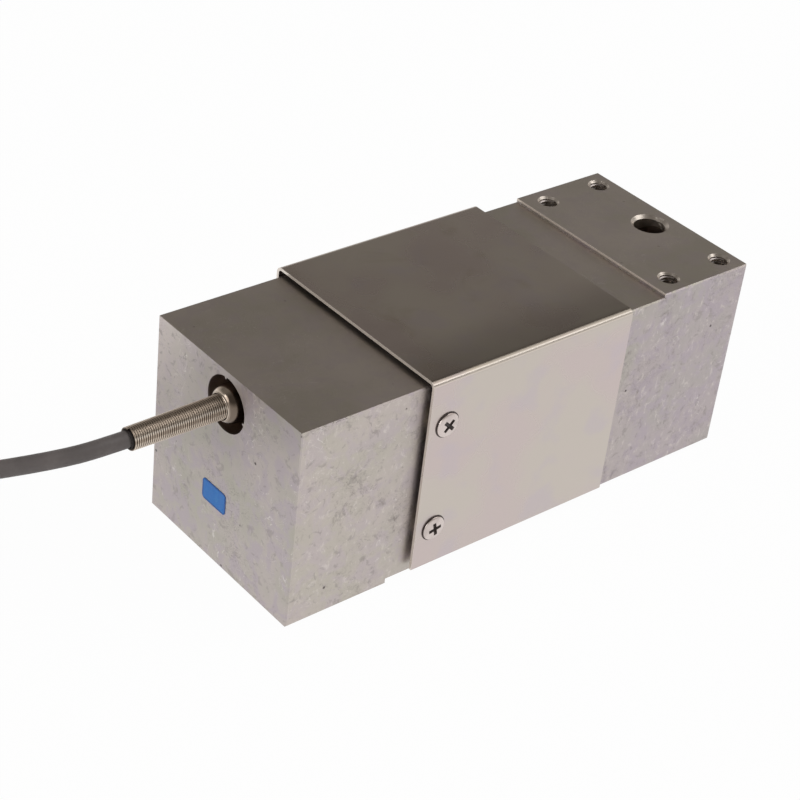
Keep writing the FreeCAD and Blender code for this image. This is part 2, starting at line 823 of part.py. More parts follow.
def coil_solid():
    """The outer shape of the tied coil: a ring that lies on the surface."""
    half, height = coil_box()
    centre = FreeCAD.Vector(*COIL_CENTRE, size("coil_lift"))
    outer = Part.makeCylinder(size("coil_radius") + half, height, centre)
    return outer.cut(Part.makeCylinder(size("coil_radius") - half, height, centre))


def coil_tie():
    """A strap round the bundle, on the side towards the block."""
    half, height = coil_box()
    gap, thick, width = size("cable_gap"), size("tie_thickness"), size("tie_width")
    low, high = size("coil_lift") - gap, size("coil_lift") + height + gap
    x, y = COIL_CENTRE
    inner = size("coil_radius") - half - width**2 / 8 / (size("coil_radius") - half) - gap
    outer = size("coil_radius") + half + gap

    def block(margin):
        corner = FreeCAD.Vector(x + inner - margin, y - width / 2, low - margin)
        return Part.makeBox(outer - inner + 2 * margin, width, high - low + 2 * margin, corner)

    strap = block(thick).cut(block(0.0))
    turn = FreeCAD.Placement(
        FreeCAD.Vector(), FreeCAD.Rotation(FreeCAD.Vector(0, 0, 1), -35), FreeCAD.Vector(x, y, 0)
    )
    return strap.transformGeometry(turn.toMatrix())


def report_cord(name, length, radii):
    shown = ", ".join(f"{radius:.1f}" for radius in radii)
    print(f"{name}: {length:.1f} mm, arc radii {shown} mm")


def largest(shape):
    return max(shape.Solids, key=lambda solid: solid.Volume)


def cable():
    """Free cable, coil, tail, the sleeve at its bare end, and the cores that fan out of it."""
    diameter = size("cable_diameter")
    ring = coil_solid()
    start = -size("block_length") / 2 - size("cord_start")
    straight = [(start, 0, cable_height()), (start - size("cord_straight"), 0, cable_height())]
    run, length, radii = tube(straight + ROUTE, diameter)
    report_cord("cable_run", length, radii)
    add_piece(largest(run.cut(ring)), "cable_run")
    add_piece(ring, "cable_coil")
    tail, length, radii = tube(TAIL, diameter)
    report_cord("cable_tail", length, radii)
    add_piece(largest(tail.cut(ring)), "cable_tail")
    add_piece(coil_tie(), "coil_tie")
    bare_end(tail, diameter)


def bare_end(tail, diameter):
    """A sleeve over the jacket's end, and stripped cores and a bare drain wire out of it."""
    end = FreeCAD.Vector(*TAIL[-1])
    out = (end - FreeCAD.Vector(*TAIL[-2])).normalize()
    across = FreeCAD.Vector(-out.y, out.x, 0).normalize()
    bore = diameter / 2 + size("cable_gap")
    length = size("end_sleeve_length")
    start = end - out * length
    outer = Part.makeCylinder(bore + size("end_sleeve_wall"), length, start, out)
    add_piece(outer.cut(Part.makeCylinder(bore, length, start, out)), "end_sleeve")
    tips = []
    for name, place_across, step in LEADS:
        first = end + across * place_across
        last = end + out * size("lead_length") + across * step
        last.z = size("lead_height")
        ahead = (last - first).normalize()
        bare = name == "drain_wire"
        radius = size("tinned_diameter" if bare else "core_diameter") / 2
        inside = first - ahead * diameter / 2
        core = Part.makeCylinder(radius, (last - inside).Length, inside, ahead)
        add_piece(largest(core.cut(tail)), name)
        if not bare:
            length = size("tinned_length")
            tips.append(Part.makeCylinder(size("tinned_diameter") / 2, length, last, ahead))
    add_piece(Part.makeCompound(tips), "lead_tips")


# Inside the window


def box_piece(label, length, width, height, x, y, z):
    box = doc.addObject("Part::Box", label)
    box.Label = label
    for target, expression in (("Length", length), ("Width", width), ("Height", height)):
        bind(box, target, expression)
    place(box, x, y, z)
    return box


def strain_gauge(level, end):
    """A gauge on a flexure's inner face, with its sealant over it."""
    sign = "-" if end == "fixed" else ""
    x = f"({sign}{FLEXURE_X} - gauge_length / 2)"
    wide = "(gauge_width + 2 * coat_margin)"
    if level == "lower":
        seat = "(fixed_pad_height + flexure_thickness)"
        gauge_z, coat_z = seat, seat
    else:
        seat = f"({BODY_TOP} - flexure_thickness)"
        gauge_z, coat_z = f"({seat} - gauge_thickness)", f"({seat} - coat_thickness)"
    name = f"strain_gauge_{level}_{end}"
    gauge = box_piece(
        name, "gauge_length", "gauge_width", "gauge_thickness", x, "-gauge_width / 2", gauge_z
    )
    pieces.append(gauge)
    coat = box_piece("coat", "gauge_length", wide, "coat_thickness", x, f"-{wide} / 2", coat_z)
    sealant = doc.addObject("Part::Cut", f"gauge_sealant_{level}_{end}")
    sealant.Label = f"gauge_sealant_{level}_{end}"
    sealant.Base = coat
    sealant.Tool = gauge
    pieces.append(sealant)


def terminal_board():
    """Board with the bridge's trimming resistors, on a pad on the window's fixed wall.

    Its upper end faces the drilling that brings the cable's cores.
    """
    wall = "-window_length / 2"
    y, z = "-board_width / 2", "board_low"
    top = f"({CABLE_Z} + board_over - board_low)"
    drilling_foot = f"({CABLE_Z} - passage_diameter / 2 - board_pad_gap - board_low)"
    pad_size = ("board_pad_thickness", "board_width", drilling_foot)
    pieces.append(box_piece("board_pad", *pad_size, wall, y, z))
    board_size = ("board_thickness", "board_width", top)
    face = f"({wall} + board_pad_thickness)"
    pieces.append(box_piece("terminal_board", *board_size, face, y, z))


def core_wires():
    """The cable's four cores, from its stripped jacket through the drilling to the board."""
    start = -size("block_length") / 2 + size("jacket_inside")
    board = -size("window_length") / 2 + size("board_pad_thickness")
    wires = []
    for number in range(4):
        angle = math.radians(45 + 90 * number)
        y = size("core_circle") * math.cos(angle)
        z = cable_height() + size("core_circle") * math.sin(angle)
        foot = FreeCAD.Vector(start, y, z)
        along = FreeCAD.Vector(1, 0, 0)
        wires.append(Part.makeCylinder(size("core_diameter") / 2, board - start, foot, along))
    add_piece(Part.makeCompound(wires), "core_wires")


def strip_outline(points, thickness):
    """The side view of a strip that lies along points, thickened to the left of their direction."""
    runs = [(b - a).normalize() for a, b in zip(points, points[1:])]
    sides = [FreeCAD.Vector(-run.z, 0, run.x) for run in runs]
    back = [points[0] + sides[0] * thickness]
    for point, before, after in zip(points[1:], sides, sides[1:]):
        back.append(point + (before + after) * (thickness / (1 + before.dot(after))))
    back.append(points[-1] + sides[-1] * thickness)
    return points + back[::-1]


def bridge_ribbons():
    """Flexible printed strips from the board to the gauges, along the window's walls.

    Each leaves the board, cuts across the slot's round corner, lies along the flexure beside its
    sealant, climbs over the link and ends on the other flexure.
    """
    low = size("fixed_pad_height")
    wall = -size("window_length") / 2
    link_end = size("window_length") / 2 - size("flexure_length")
    seat, link = low + size("flexure_thickness"), low + size("link_thickness")
    corner = size("flexure_fillet")
    board_face = wall + size("board_pad_thickness") + size("board_thickness")
    landing = size("board_low") + size("ribbon_landing")
    route = [
        (board_face, landing),
        (board_face, seat + corner + 1.2),
        (wall + corner + 0.4, seat),
        (-link_end - corner - 0.4, seat),
        (-link_end, seat + corner + 0.4),
        (-link_end, link),
        (link_end, link),
        (link_end, seat + corner + 0.4),
        (link_end + corner + 0.4, seat),
        (-wall - corner, seat),
    ]
    points = [FreeCAD.Vector(x, 0, z) for x, z in route]
    outline = strip_outline(points, size("ribbon_thickness"))
    lower = Part.Face(Part.makePolygon(outline + outline[:1]))
    lower = lower.extrude(FreeCAD.Vector(0, size("ribbon_width"), 0))
    lower.translate(FreeCAD.Vector(0, size("gauge_width") / 2 + size("coat_margin"), 0))
    middle = FreeCAD.Vector(0, 0, low + size("body_height") / 2)
    add_piece(lower, "bridge_ribbon_lower")
    add_piece(lower.mirror(middle, FreeCAD.Vector(0, 0, 1)), "bridge_ribbon_upper")


def blank_label():
    """A small plain label on the fixed end face."""
    body = new_body("end_label")
    sketch = new_sketch(body, "YZ_Plane", FIXED_END)
    draw_box(
        sketch,
        "label_across - label_width / 2",
        "label_across + label_width / 2",
        "label_up - label_height / 2",
        "label_up + label_height / 2",
    )
    plate = pad(body, sketch, "label_thickness", reverse=True)

    def corner(edge, box):
        return box.YLength < 0.01 and box.ZLength < 0.01

    dress(body, "Fillet", plate, edges_where(plate, corner), "label_corner", "Radius")


def check_everything():
    """Stops before writing if any object failed or any piece has no good solid."""
    for item in doc.Objects:
        if {"Invalid", "Error"} & set(item.State):
            raise RuntimeError(f"{item.Label} failed: {item.State}")
    for piece in pieces:
        shape = piece.Shape
        if shape.isNull() or not shape.isValid() or not shape.Solids:
            raise RuntimeError(f"{piece.Label} has no valid solid")


sensing_block()
cover()
for side_name in ("front", "rear"):
    for height_name in SCREW_HEIGHTS:
        cover_screw(side_name, height_name)
        cover_spacer(side_name, height_name)
gland_washer()
gland_body()
gland_grommet()
gland_ferrule()
relief_spring()
spring_sleeve()
cable_in_gland()
cable()
for level_name in ("lower", "upper"):
    for end_name in ("fixed", "live"):
        strain_gauge(level_name, end_name)
terminal_board()
core_wires()
bridge_ribbons()
blank_label()

doc.recompute()
check_everything()
os.makedirs("parts", exist_ok=True)
for piece in pieces:
    piece.Shape.exportStep(f"parts/{piece.Label}.step")
    print(f"{piece.Label}: {len(piece.Shape.Solids)} solid, {piece.Shape.Volume:.1f} mm3")
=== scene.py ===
"""Dresses the single point load cell that the frame holds.

The signal cable, its spring, the collar, the screw threads and the finish of
every part are made here. Lengths are in metres, in the frame's own axes.
"""

import math

import bpy
from mathutils import Matrix, Vector


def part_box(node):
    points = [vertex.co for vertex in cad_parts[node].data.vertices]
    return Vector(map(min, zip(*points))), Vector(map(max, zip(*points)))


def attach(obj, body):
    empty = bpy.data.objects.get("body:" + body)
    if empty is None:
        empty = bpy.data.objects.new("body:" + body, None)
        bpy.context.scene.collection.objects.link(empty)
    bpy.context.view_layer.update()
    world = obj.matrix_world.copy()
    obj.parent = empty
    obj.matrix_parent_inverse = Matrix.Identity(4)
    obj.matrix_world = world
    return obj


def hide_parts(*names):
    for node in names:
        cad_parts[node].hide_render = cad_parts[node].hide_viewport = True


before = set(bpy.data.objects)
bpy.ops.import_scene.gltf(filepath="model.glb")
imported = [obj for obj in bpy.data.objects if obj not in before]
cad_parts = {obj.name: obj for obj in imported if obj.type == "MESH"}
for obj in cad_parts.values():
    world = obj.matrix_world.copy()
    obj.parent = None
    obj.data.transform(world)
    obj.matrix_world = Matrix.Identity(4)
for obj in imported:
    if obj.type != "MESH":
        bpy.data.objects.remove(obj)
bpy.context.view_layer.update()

bl_info = {
    "name": "Single point load cell",
    "version": (1, 0, 0),
    "blender": (4, 5, 0),
    "location": "3D View > Sidebar > Load cell",
    "description": "Builds the cable, spring, threads and finishes of a load cell",
    "category": "Object",
}

MM = 0.001
CABLE_AXIS = Vector((0.0, 0.0, 0.0494))

# ---------------------------------------------------------------- settings


def tint(code):
    """Turns a web colour such as b5aca8 into scene linear values."""
    parts = [int(code[i : i + 2], 16) / 255 for i in (0, 2, 4)]
    return tuple(
        p / 12.92 if p <= 0.04045 else ((p + 0.055) / 1.055) ** 2.4 for p in parts
    )


def colour_setting(name, code, description):
    """A colour that can be changed in the sidebar."""
    return bpy.props.FloatVectorProperty(
        name=name,
        description=description,
        subtype="COLOR",
        size=3,
        min=0.0,
        max=1.0,
        default=tint(code),
    )


def length_setting(name, default, description):
    """A length in metres that can be changed in the sidebar."""
    return bpy.props.FloatProperty(
        name=name,
        description=description,
        default=default,
        min=0.0,
        unit="LENGTH",
        precision=5,
    )


class LOADCELL_PG_cable(bpy.types.PropertyGroup):
    """Sizes and colour of the signal cable."""

    diameter: length_setting("Diameter", 0.0044, "Outside diameter of the jacket")
    total: length_setting("Length", 1.0, "Real length of the cable")
    jacket: colour_setting("Jacket", "6b6564", "Colour of the jacket")


class LOADCELL_PG_spring(bpy.types.PropertyGroup):
    """Sizes and colour of the bend relief spring."""

    radius: length_setting("Radius", 0.0033, "Outside radius at the collar")
    end_radius: length_setting("End radius", 0.00303, "Outside radius at the free end")
    wire: length_setting("Wire", 0.00055, "Diameter of the wire")
    pitch: length_setting("Pitch", 0.00061, "Step from one turn to the next")
    turns: bpy.props.IntProperty(
        name="Turns", description="Number of turns", default=48, min=2
    )
    steel: colour_setting("Steel", "d6c8b8", "Colour of the wire")


class LOADCELL_PG_thread(bpy.types.PropertyGroup):
    """Sizes of the screw threads in the tapped holes."""

    radius: length_setting("Radius", 0.00252, "Radius at the foot of the ridge")
    height: length_setting("Height", 0.00026, "Height of the ridge")
    pitch: length_setting("Pitch", 0.001, "Step from one ridge to the next")
    turns: bpy.props.IntProperty(
        name="Turns", description="Number of turns in a hole", default=13, min=2
    )


class LOADCELL_PG_finish(bpy.types.PropertyGroup):
    """Colours of the metal, the label and the small parts."""

    block: colour_setting("Block", "bab1ad", "Satin aluminium of the block")
    cover: colour_setting("Cover", "c3b8b3", "Sheet metal of the cover")
    nickel: colour_setting("Nickel", "c4b6a8", "Plating of the gland")
    label: colour_setting("Label", "2b79cc", "Face of the blank label")
    board: colour_setting("Board", "2f5a38", "Solder mask of the terminal board")


class LOADCELL_PG_stage(bpy.types.PropertyGroup):
    """The floor, the lamps and the camera."""

    floor: colour_setting("Floor", "ffffff", "Colour of the floor")
    lens: bpy.props.FloatProperty(
        name="Lens",
        description="Focal length of the camera in millimetres",
        default=90.78,
        min=1.0,
    )
    lamp: bpy.props.FloatProperty(
        name="Lamp",
        description="Power of the large lamp in watts",
        default=6.0,
        min=0.0,
    )


# ---------------------------------------------------------------- materials


class Finish:
    """A node material whose patterns follow Object coordinates."""

    def __init__(self, name, **sockets):
        self.material = bpy.data.materials.new(name)
        self.material.use_nodes = True
        self.nodes = self.material.node_tree.nodes
        self.links = self.material.node_tree.links
        self.shader = self.nodes["Principled BSDF"]
        self.space = self.nodes.new("ShaderNodeTexCoord").outputs["Object"]
        for name, value in sockets.items():
            self.join(value, self.shader.inputs[name.replace("_", " ")])

    def join(self, value, socket):
        """Links a socket to another, or writes a number or colour on it."""
        if isinstance(value, bpy.types.NodeSocket):
            self.links.new(value, socket)
        elif socket.type == "RGBA":
            socket.default_value = (*value[:3], 1.0)
        else:
            socket.default_value = value

    def put(self, kind, sockets, **choices):
        """Adds one node, sets its choices and joins its inputs."""
        made = self.nodes.new(kind)
        for name, value in choices.items():
            setattr(made, name, value)
        for name, value in sockets.items():
            self.join(value, made.inputs[name])
        return made

    def placed(self, scale=(1, 1, 1), shift=(0, 0, 0)):
        """Object coordinates, stretched and shifted."""
        sockets = {"Vector": self.space, "Scale": scale, "Location": shift}
        return self.put("ShaderNodeMapping", sockets).outputs["Vector"]

    def noise(self, scale, detail=3.0, rough=0.5, warp=0.0, at=None):
        """Cloudy noise from 0 to 1."""
        sockets = {
            "Vector": at or self.space,
            "Scale": scale,
            "Detail": detail,
            "Roughness": rough,
            "Distortion": warp,
        }
        return self.put("ShaderNodeTexNoise", sockets).outputs["Fac"]

    def cells(self, scale):
        """Distance to the nearest of many scattered points."""
        sockets = {"Vector": self.space, "Scale": scale}
        return self.put("ShaderNodeTexVoronoi", sockets).outputs["Distance"]

    def ranged(self, value, low, high, start=0.0, end=1.0):
        """Maps low to high onto start to end, smoothly and within them."""
        sockets = {
            "Value": value,
            "From Min": low,
            "From Max": high,
            "To Min": start,
            "To Max": end,
        }
        made = self.put("ShaderNodeMapRange", sockets, interpolation_type="SMOOTHSTEP")
        return made.outputs["Result"]

    def axes(self):
        """The x, y and z of the surface."""
        split = self.put("ShaderNodeSeparateXYZ", {"Vector": self.space})
        return [split.outputs[axis] for axis in "XYZ"]

    def facing(self):
        """How much the surface faces along x, y and z, either way."""
        normal = self.put("ShaderNodeNewGeometry", {}).outputs["Normal"]
        split = self.put("ShaderNodeSeparateXYZ", {"Vector": normal})
        return [self.off(split.outputs[axis], 0.0) for axis in "XYZ"]

    def sum(self, first, second, operation="ADD"):
        """Arithmetic on two values."""
        made = self.put("ShaderNodeMath", {}, operation=operation)
        self.join(first, made.inputs[0])
        self.join(second, made.inputs[1])
        return made.outputs[0]

    # Each of these is sum() with another operation.
    def less(self, first, second):
        return self.sum(first, second, "SUBTRACT")

    def times(self, first, second):
        return self.sum(first, second, "MULTIPLY")

    def over(self, first, second):
        return self.sum(first, second, "DIVIDE")

    def either(self, first, second):
        return self.sum(first, second, "MAXIMUM")

    def off(self, value, centre):
        """How far a value is from centre, either way."""
        return self.sum(self.less(value, centre), 0.0, "ABSOLUTE")

    def radius(self, first, second):
        """Length of a pair of distances."""
        squares = (self.times(v, v) for v in (first, second))
        return self.sum(self.sum(*squares), 0.5, "POWER")

    def hairline(self, value, width):
        """Thin lines where a noise crosses its middle value."""
        return self.ranged(self.off(value, 0.5), 0.0, width, 1.0, 0.0)

    def mixed(self, amount, first, second):
        """Blends two colours."""
        made = self.nodes.new("ShaderNodeMix")
        made.data_type = "RGBA"
        self.join(amount, made.inputs[0])
        self.join(first, made.inputs[6])
        self.join(second, made.inputs[7])
        return made.outputs[2]

    def colour(self, value):
        self.join(value, self.shader.inputs["Base Color"])

    def rough(self, value):
        self.join(value, self.shader.inputs["Roughness"])

    def metallic(self, value):
        self.join(value, self.shader.inputs["Metallic"])

    def relief(self, height, depth, strength=1.0):
        """Adds a bump of that depth in metres to the surface."""
        sockets = {"Height": height, "Distance": depth, "Strength": strength}
        before = self.shader.inputs["Normal"]
        if before.is_linked:
            sockets["Normal"] = before.links[0].from_socket
        self.join(self.put("ShaderNodeBump", sockets).outputs["Normal"], before)


def darker(colour, part):
    """The same colour, darker or lighter by a factor."""
    return tuple(min(1.0, c * part) for c in colour[:3])


class SatinAluminium(Finish):
    """Milled aluminium: mottled skin, handling marks, pits and lighter bores, with
    painted highlights and shade at the holes and edges, and painted shade on the tops.
    """

    # Across, up and radius of the dents in the wired end's face.
    DENTS = ((0.0287, 0.0178, 0.00042), (0.0199, 0.0262, 0.0002))
    # Tapped holes: middle and half pitch along the block, and half pitch across it.
    TAP_MIDDLE, TAP_HALF_PITCH, TAP_ACROSS = 0.0612, 0.0099, 0.024
    BORE_X = 0.0682
    # Radii within which the holes' colours lie: lighter walls with painted highlights
    # at the mouths, and painted shade lower down in the bore and in the cable entry.
    TAP_MOUTH, BORE_MOUTH, BORE_WALL, ENTRY_WALL = 0.00308, 0.0054, 0.0046, 0.0079
    PAD_EDGE_X = 0.0444
    END_X, HALF_WIDTH = -0.0762, 0.03

    def __init__(self, colour):
        super().__init__("satin_aluminium")
        self.base = colour
        self.tone = tint("afaaa0")
        self.place = self.axes()
        _, to_side, to_top = self.facing()
        self.top = self.ranged(to_top, 0.8, 0.9)
        self.side = self.ranged(to_side, 0.8, 0.9)
        self.marred = self.ranged(to_top, 0.8, 0.9, 1.0, 0.3)
        self.clouds = self.noise(42.0, 4.0, 0.62)
        self.patches = self.noise(170.0, 4.0, 0.6, 0.5)
        self.mottle()
        self.corrode_and_shade_tops()
        scored, pitted = self.handle()
        self.dent()
        wall = self.open_holes()
        pad_highlight = self.paint_edge_light()
        self.colour(self.tone)
        # The pad's painted highlight is also less metallic.
        self.metallic(self.less(1.0, self.times(pad_highlight, 0.45)))
        grain = self.noise(2600.0, 2.0, 0.6)
        skin = self.sum(self.clouds, self.times(grain, 0.3))
        satin = self.ranged(skin, 0.4, 0.9, 0.38, 0.5)
        self.rough(self.less(satin, self.times(wall, 0.12)))
        self.relief(grain, 0.000012)
        self.relief(self.patches, 0.00006, 0.6)
        self.relief(scored, 0.00003)
        self.relief(pitted, 0.00008)

    def lay(self, amount, colour):
        """Blends a colour over what is there."""
        self.tone = self.mixed(amount, self.tone, colour)

    def at_end(self, reach, fade, most=1.0):
        """Most within that reach of the wired end's face, and nothing beyond it."""
        limit = self.END_X + reach
        return self.ranged(self.place[0], limit, limit + fade, most, 0.0)

    def mottle(self):
        """Clouds, paler by the wired end and a little lilac by the live one."""
        x, y, z = self.place
        self.lay(self.ranged(self.clouds, 0.36, 0.58), self.base)
        self.lay(self.ranged(self.patches, 0.46, 0.6, 0.0, 0.6), tint("b0a5ad"))
        pale = self.times(self.ranged(z, 0.026, 0.056), self.ranged(y, -0.008, 0.03))
        pale = self.times(pale, self.at_end(0.0003, 0.00015, 0.6))
        self.lay(pale, tint("e0d6d1"))
        near = self.ranged(x, -0.07, 0.0, 0.32, 0.0)
        self.lay(self.times(near, self.side), tint("d2c7be"))
        lilac = self.ranged(x, 0.02, 0.05, 0.0, 0.35)
        self.lay(self.times(lilac, self.side), tint("b1a5af"))
        spots = self.ranged(self.noise(330.0, 4.0, 0.65, 0.8), 0.56, 0.66, 0.0, 0.5)
        self.lay(self.times(spots, self.marred), darker(self.base, 0.6))

    def corrode_and_shade_tops(self):
        """Ragged matt flecks with pale rims on the sides, and painted shade that makes
        the tops darker and browner.
        """
        flecks = self.noise(430.0, 6.0, 0.78, 0.5, self.placed((1.0, 1.0, 0.7)))
        thick = self.ranged(self.noise(70.0, 2.0), 0.4, 0.62, 0.25, 1.0)
        fleck = self.times(self.ranged(flecks, 0.54, 0.68, 0.0, 0.55), thick)
        self.lay(self.times(fleck, self.side), tint("827976"))
        rim = self.ranged(flecks, 0.46, 0.34, 0.0, 0.5)
        self.lay(self.times(rim, self.side), tint("d9d1cb"))
        # Painted shade: the top faces are laid darker and browner.
        self.lay(self.times(self.top, 0.6), tint("a3998d"))

    def handle(self):
        """Scratches, rubs and pits. Returns the lines and the pits."""
        lines = self.noise(260.0, 2.0, 0.5, 2.2, self.placed((1.0, 1.0, 1.5)))
        marked = self.ranged(self.noise(75.0, 2.0, 0.5), 0.47, 0.62)
        scratch = self.times(self.hairline(lines, 0.02), marked)
        scratch = self.times(scratch, self.marred)
        self.lay(self.times(scratch, 0.5), darker(self.base, 0.5))
        lines = self.noise(190.0, 1.0, 0.5, 1.4, self.placed((1.0, 1.3, 1.0)))
        rubs_and_sheen = self.noise(60.0, 2.0, 0.5, 0.0, self.placed(shift=(0.3, 0, 0)))
        rub = self.times(self.hairline(lines, 0.008), self.ranged(rubs_and_sheen, 0.5, 0.6))
        rub = self.times(rub, self.marred)
        self.lay(self.times(rub, 0.55), tint("e2ddd8"))
        pits = self.ranged(self.cells(210.0), 0.06, 0.11, 1.0, 0.0)
        few = self.ranged(self.noise(95.0, 0.0), 0.6, 0.63)
        pitted = self.times(self.times(pits, few), self.marred)
        self.lay(self.times(pitted, 0.8), tint("3f3836"))
        return self.sum(scratch, rub), pitted

    def dent(self):
        """Two old dents near the corner of the wired end."""
        _, y, z = self.place
        for across, up, size in self.DENTS:
            spread = self.radius(self.off(y, across), self.off(z, up))
            ragged = self.sum(spread, self.times(self.patches, 0.0009))
            dent = self.ranged(ragged, size + 0.0003, size + 0.00055, 1.0, 0.0)
            dent = self.times(dent, self.at_end(0.0001, 0.0001))
            self.lay(self.times(dent, 0.85), tint("37403f"))

    def within(self, distance, limit, fade, most=1.0):
        """Most up to the limit, and nothing beyond it."""
        return self.ranged(distance, limit, limit + fade, most, 0.0)

    def open_holes(self):
        """Tapped holes, bore and cable entry, with painted highlights at the holes'
        mouths and painted shade lower down in the bore and in the cable entry. Returns
        the walls of the holes.
        """
        x, y, z = self.place
        along = self.off(self.off(x, 0.0), self.TAP_MIDDLE)
        tapped = self.radius(
            self.off(along, self.TAP_HALF_PITCH),
            self.off(self.off(y, 0.0), self.TAP_ACROSS),
        )
        bored = self.radius(self.off(x, self.BORE_X), y)
        # The live end's holes open upwards, and the fixed end's downwards.
        upper = self.ranged(z, 0.025, 0.03)
        fixed = self.ranged(x, 0.0, 0.001, 1.0, 0.0)
        tapped = self.within(tapped, self.TAP_MOUTH, 0.0001)
        wall = self.either(
            self.times(tapped, self.off(upper, fixed)),
            self.times(self.within(bored, self.BORE_MOUTH, 0.0001), upper),
        )
        # Lighter walls in the holes, with a painted highlight at their mouths.
        mouth = self.either(
            self.ranged(z, 0.0586, 0.0592), self.ranged(z, 0.0008, 0.0014, 1.0, 0.0)
        )
        self.lay(wall, self.mixed(mouth, tint("e6dcd0"), tint("c2b9b0")))
        # Painted shade lower down inside the bore.
        bore_shade = self.times(
            self.ranged(z, 0.0505, 0.0575, 0.6, 0.0),
            self.within(bored, self.BORE_WALL, 0.0002),
        )
        self.lay(self.times(bore_shade, upper), tint("5b5149"))
        # Painted shade on the walls of the cable entry's recess.
        entry = self.radius(y, self.less(z, CABLE_AXIS.z))
        recess_shade = self.times(
            self.within(entry, self.ENTRY_WALL, 0.0002, 0.6),
            self.less(1.0, self.at_end(0.0003, 0.0002)),
        )
        self.lay(recess_shade, tint("7d5f50"))
        return wall

    def paint_edge_light(self):
        """Painted highlight along the pad's step, and painted shade and painted
        highlight lines beside the wired end's upright corners. Returns the pad's
        highlight.
        """
        x, y, z = self.place
        # Painted highlight where the pad steps down.
        pad_highlight = self.times(
            self.within(self.off(x, self.PAD_EDGE_X), 0.00008, 0.0001),
            self.ranged(z, 0.05935, 0.0596),
        )
        self.lay(self.times(pad_highlight, 0.85), tint("e4d8cc"))
        # Painted shade line on the wired end beside its upright corners, and a painted
        # highlight on the sides next to it.
        across = self.off(y, 0.0)
        corner = self.within(self.off(across, self.HALF_WIDTH), 0.0002, 0.0002)
        corner_shade = self.times(corner, self.at_end(0.00001, 0.00002))
        self.lay(self.times(corner_shade, 0.45), tint("5f5856"))
        bright = self.times(self.at_end(0.0003, 0.00015), self.less(1.0, corner_shade))
        bright = self.times(bright, self.ranged(across, 0.02998, 0.02999))
        self.lay(self.times(bright, 0.5), tint("d9d2cd"))
        return pad_highlight


def sheet_metal(colour):
    """Smooth bent sheet with soft clouds, a top darkened by painted shade and smudges,
    and painted highlights on the folds and the cut edges.
    """
    f = Finish("sheet_metal")
    x, y, z = f.axes()
    low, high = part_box("cover")
    clouds = f.noise(34.0, 3.0, 0.5)
    tone = f.mixed(f.ranged(clouds, 0.4, 0.6), tint("c5b6b4"), tint("c5beb2"))
    tone = f.mixed(0.5, tone, colour)
    lilac = f.ranged(f.noise(90.0, 3.0), 0.5, 0.68, 0.0, 0.5)
    hue = f.mixed(lilac, tone, tint("beb3b9"))
    # Painted shade: the top is darker and browner than the sides, most of all along the
    # near bend, and it also carries smudges.
    crown = f.ranged(z, high.z - 0.0014, high.z - 0.0001)
    top_shade = f.ranged(y, low.y + 0.0012, low.y + 0.0222, 0.54, 0.88)
    top_shade = f.less(top_shade, f.ranged(y, low.y + 0.0004, low.y + 0.0032, 0.16, 0.0))
    shade_and_smudge = f.mixed(top_shade, (0.0, 0.0, 0.0), hue)
    shade_and_smudge = f.mixed(0.2, shade_and_smudge, tint("8f8064"))
    smudge = f.ranged(f.noise(60.0, 3.0, 0.6, 0.6), 0.55, 0.7, 0.0, 0.3)
    shade_and_smudge = f.mixed(smudge, shade_and_smudge, tint("9b8f7c"))
    hue = f.mixed(crown, hue, shade_and_smudge)
    # Painted highlight along the outside of the folds.
    to_end, _, to_top = f.facing()
    fold_highlight = f.ranged(f.off(to_top, 0.55), 0.12, 0.3, 0.45, 0.0)
    hue = f.mixed(fold_highlight, hue, tint("fff5ea"))
    # Painted highlight on the cut ends of the sheet, which are also less metallic.
    near_cut = f.ranged(x, low.x + 0.00005, low.x + 0.0001, 1.0, 0.0)
    far_cut = f.ranged(x, high.x - 0.0001, high.x - 0.00005)
    far_cut = f.times(far_cut, f.ranged(to_end, 0.8, 0.9))
    cut = f.either(near_cut, far_cut)
    f.colour(f.mixed(f.times(cut, 0.8), hue, tint("efe6dc")))
    f.metallic(f.less(1.0, f.times(cut, 0.5)))
    f.rough(f.ranged(clouds, 0.35, 0.65, 0.25, 0.31))
    f.relief(f.noise(1800.0, 2.0), 0.0000015)
    return f.material


def hazed(name, colour, rough):
    """Bright plating with a faint haze: the finish, and its colour so far."""
    f = Finish(name, Metallic=1.0)
    haze = f.noise(260.0, 3.0, 0.6)
    f.rough(f.ranged(haze, 0.3, 0.7, rough, rough + 0.1))
    return f, f.mixed(f.ranged(haze, 0.4, 0.7), colour, darker(colour, 0.86))


def plated(name, colour, rough):
    """Plating with fine turning marks."""
    f, tone = hazed(name, colour, rough)
    f.colour(tone)
    f.relief(f.noise(3000.0, 1.0, 0.5, 0.0, f.placed((1.0, 0.02, 0.02))), 0.000002)
    return f.material


def shaded_plate(colour):
    """Plating of the collar, with a painted reflection of the dark recess on the flank
    that lies in it.
    """
    f, tone = hazed("nickel_plate", colour, 0.14)
    x, y, z = f.axes()
    out = f.radius(y, f.less(z, CABLE_AXIS.z))
    # Painted reflection: the flank towards -y is darkened as if it mirrored the dark
    # recess.
    flank = f.ranged(f.over(y, out), -0.15, -0.55)
    flank = f.times(flank, f.ranged(x, -0.0781, -0.0776))
    f.colour(f.mixed(f.times(flank, 0.8), tone, tint("54463b")))
    return f.material


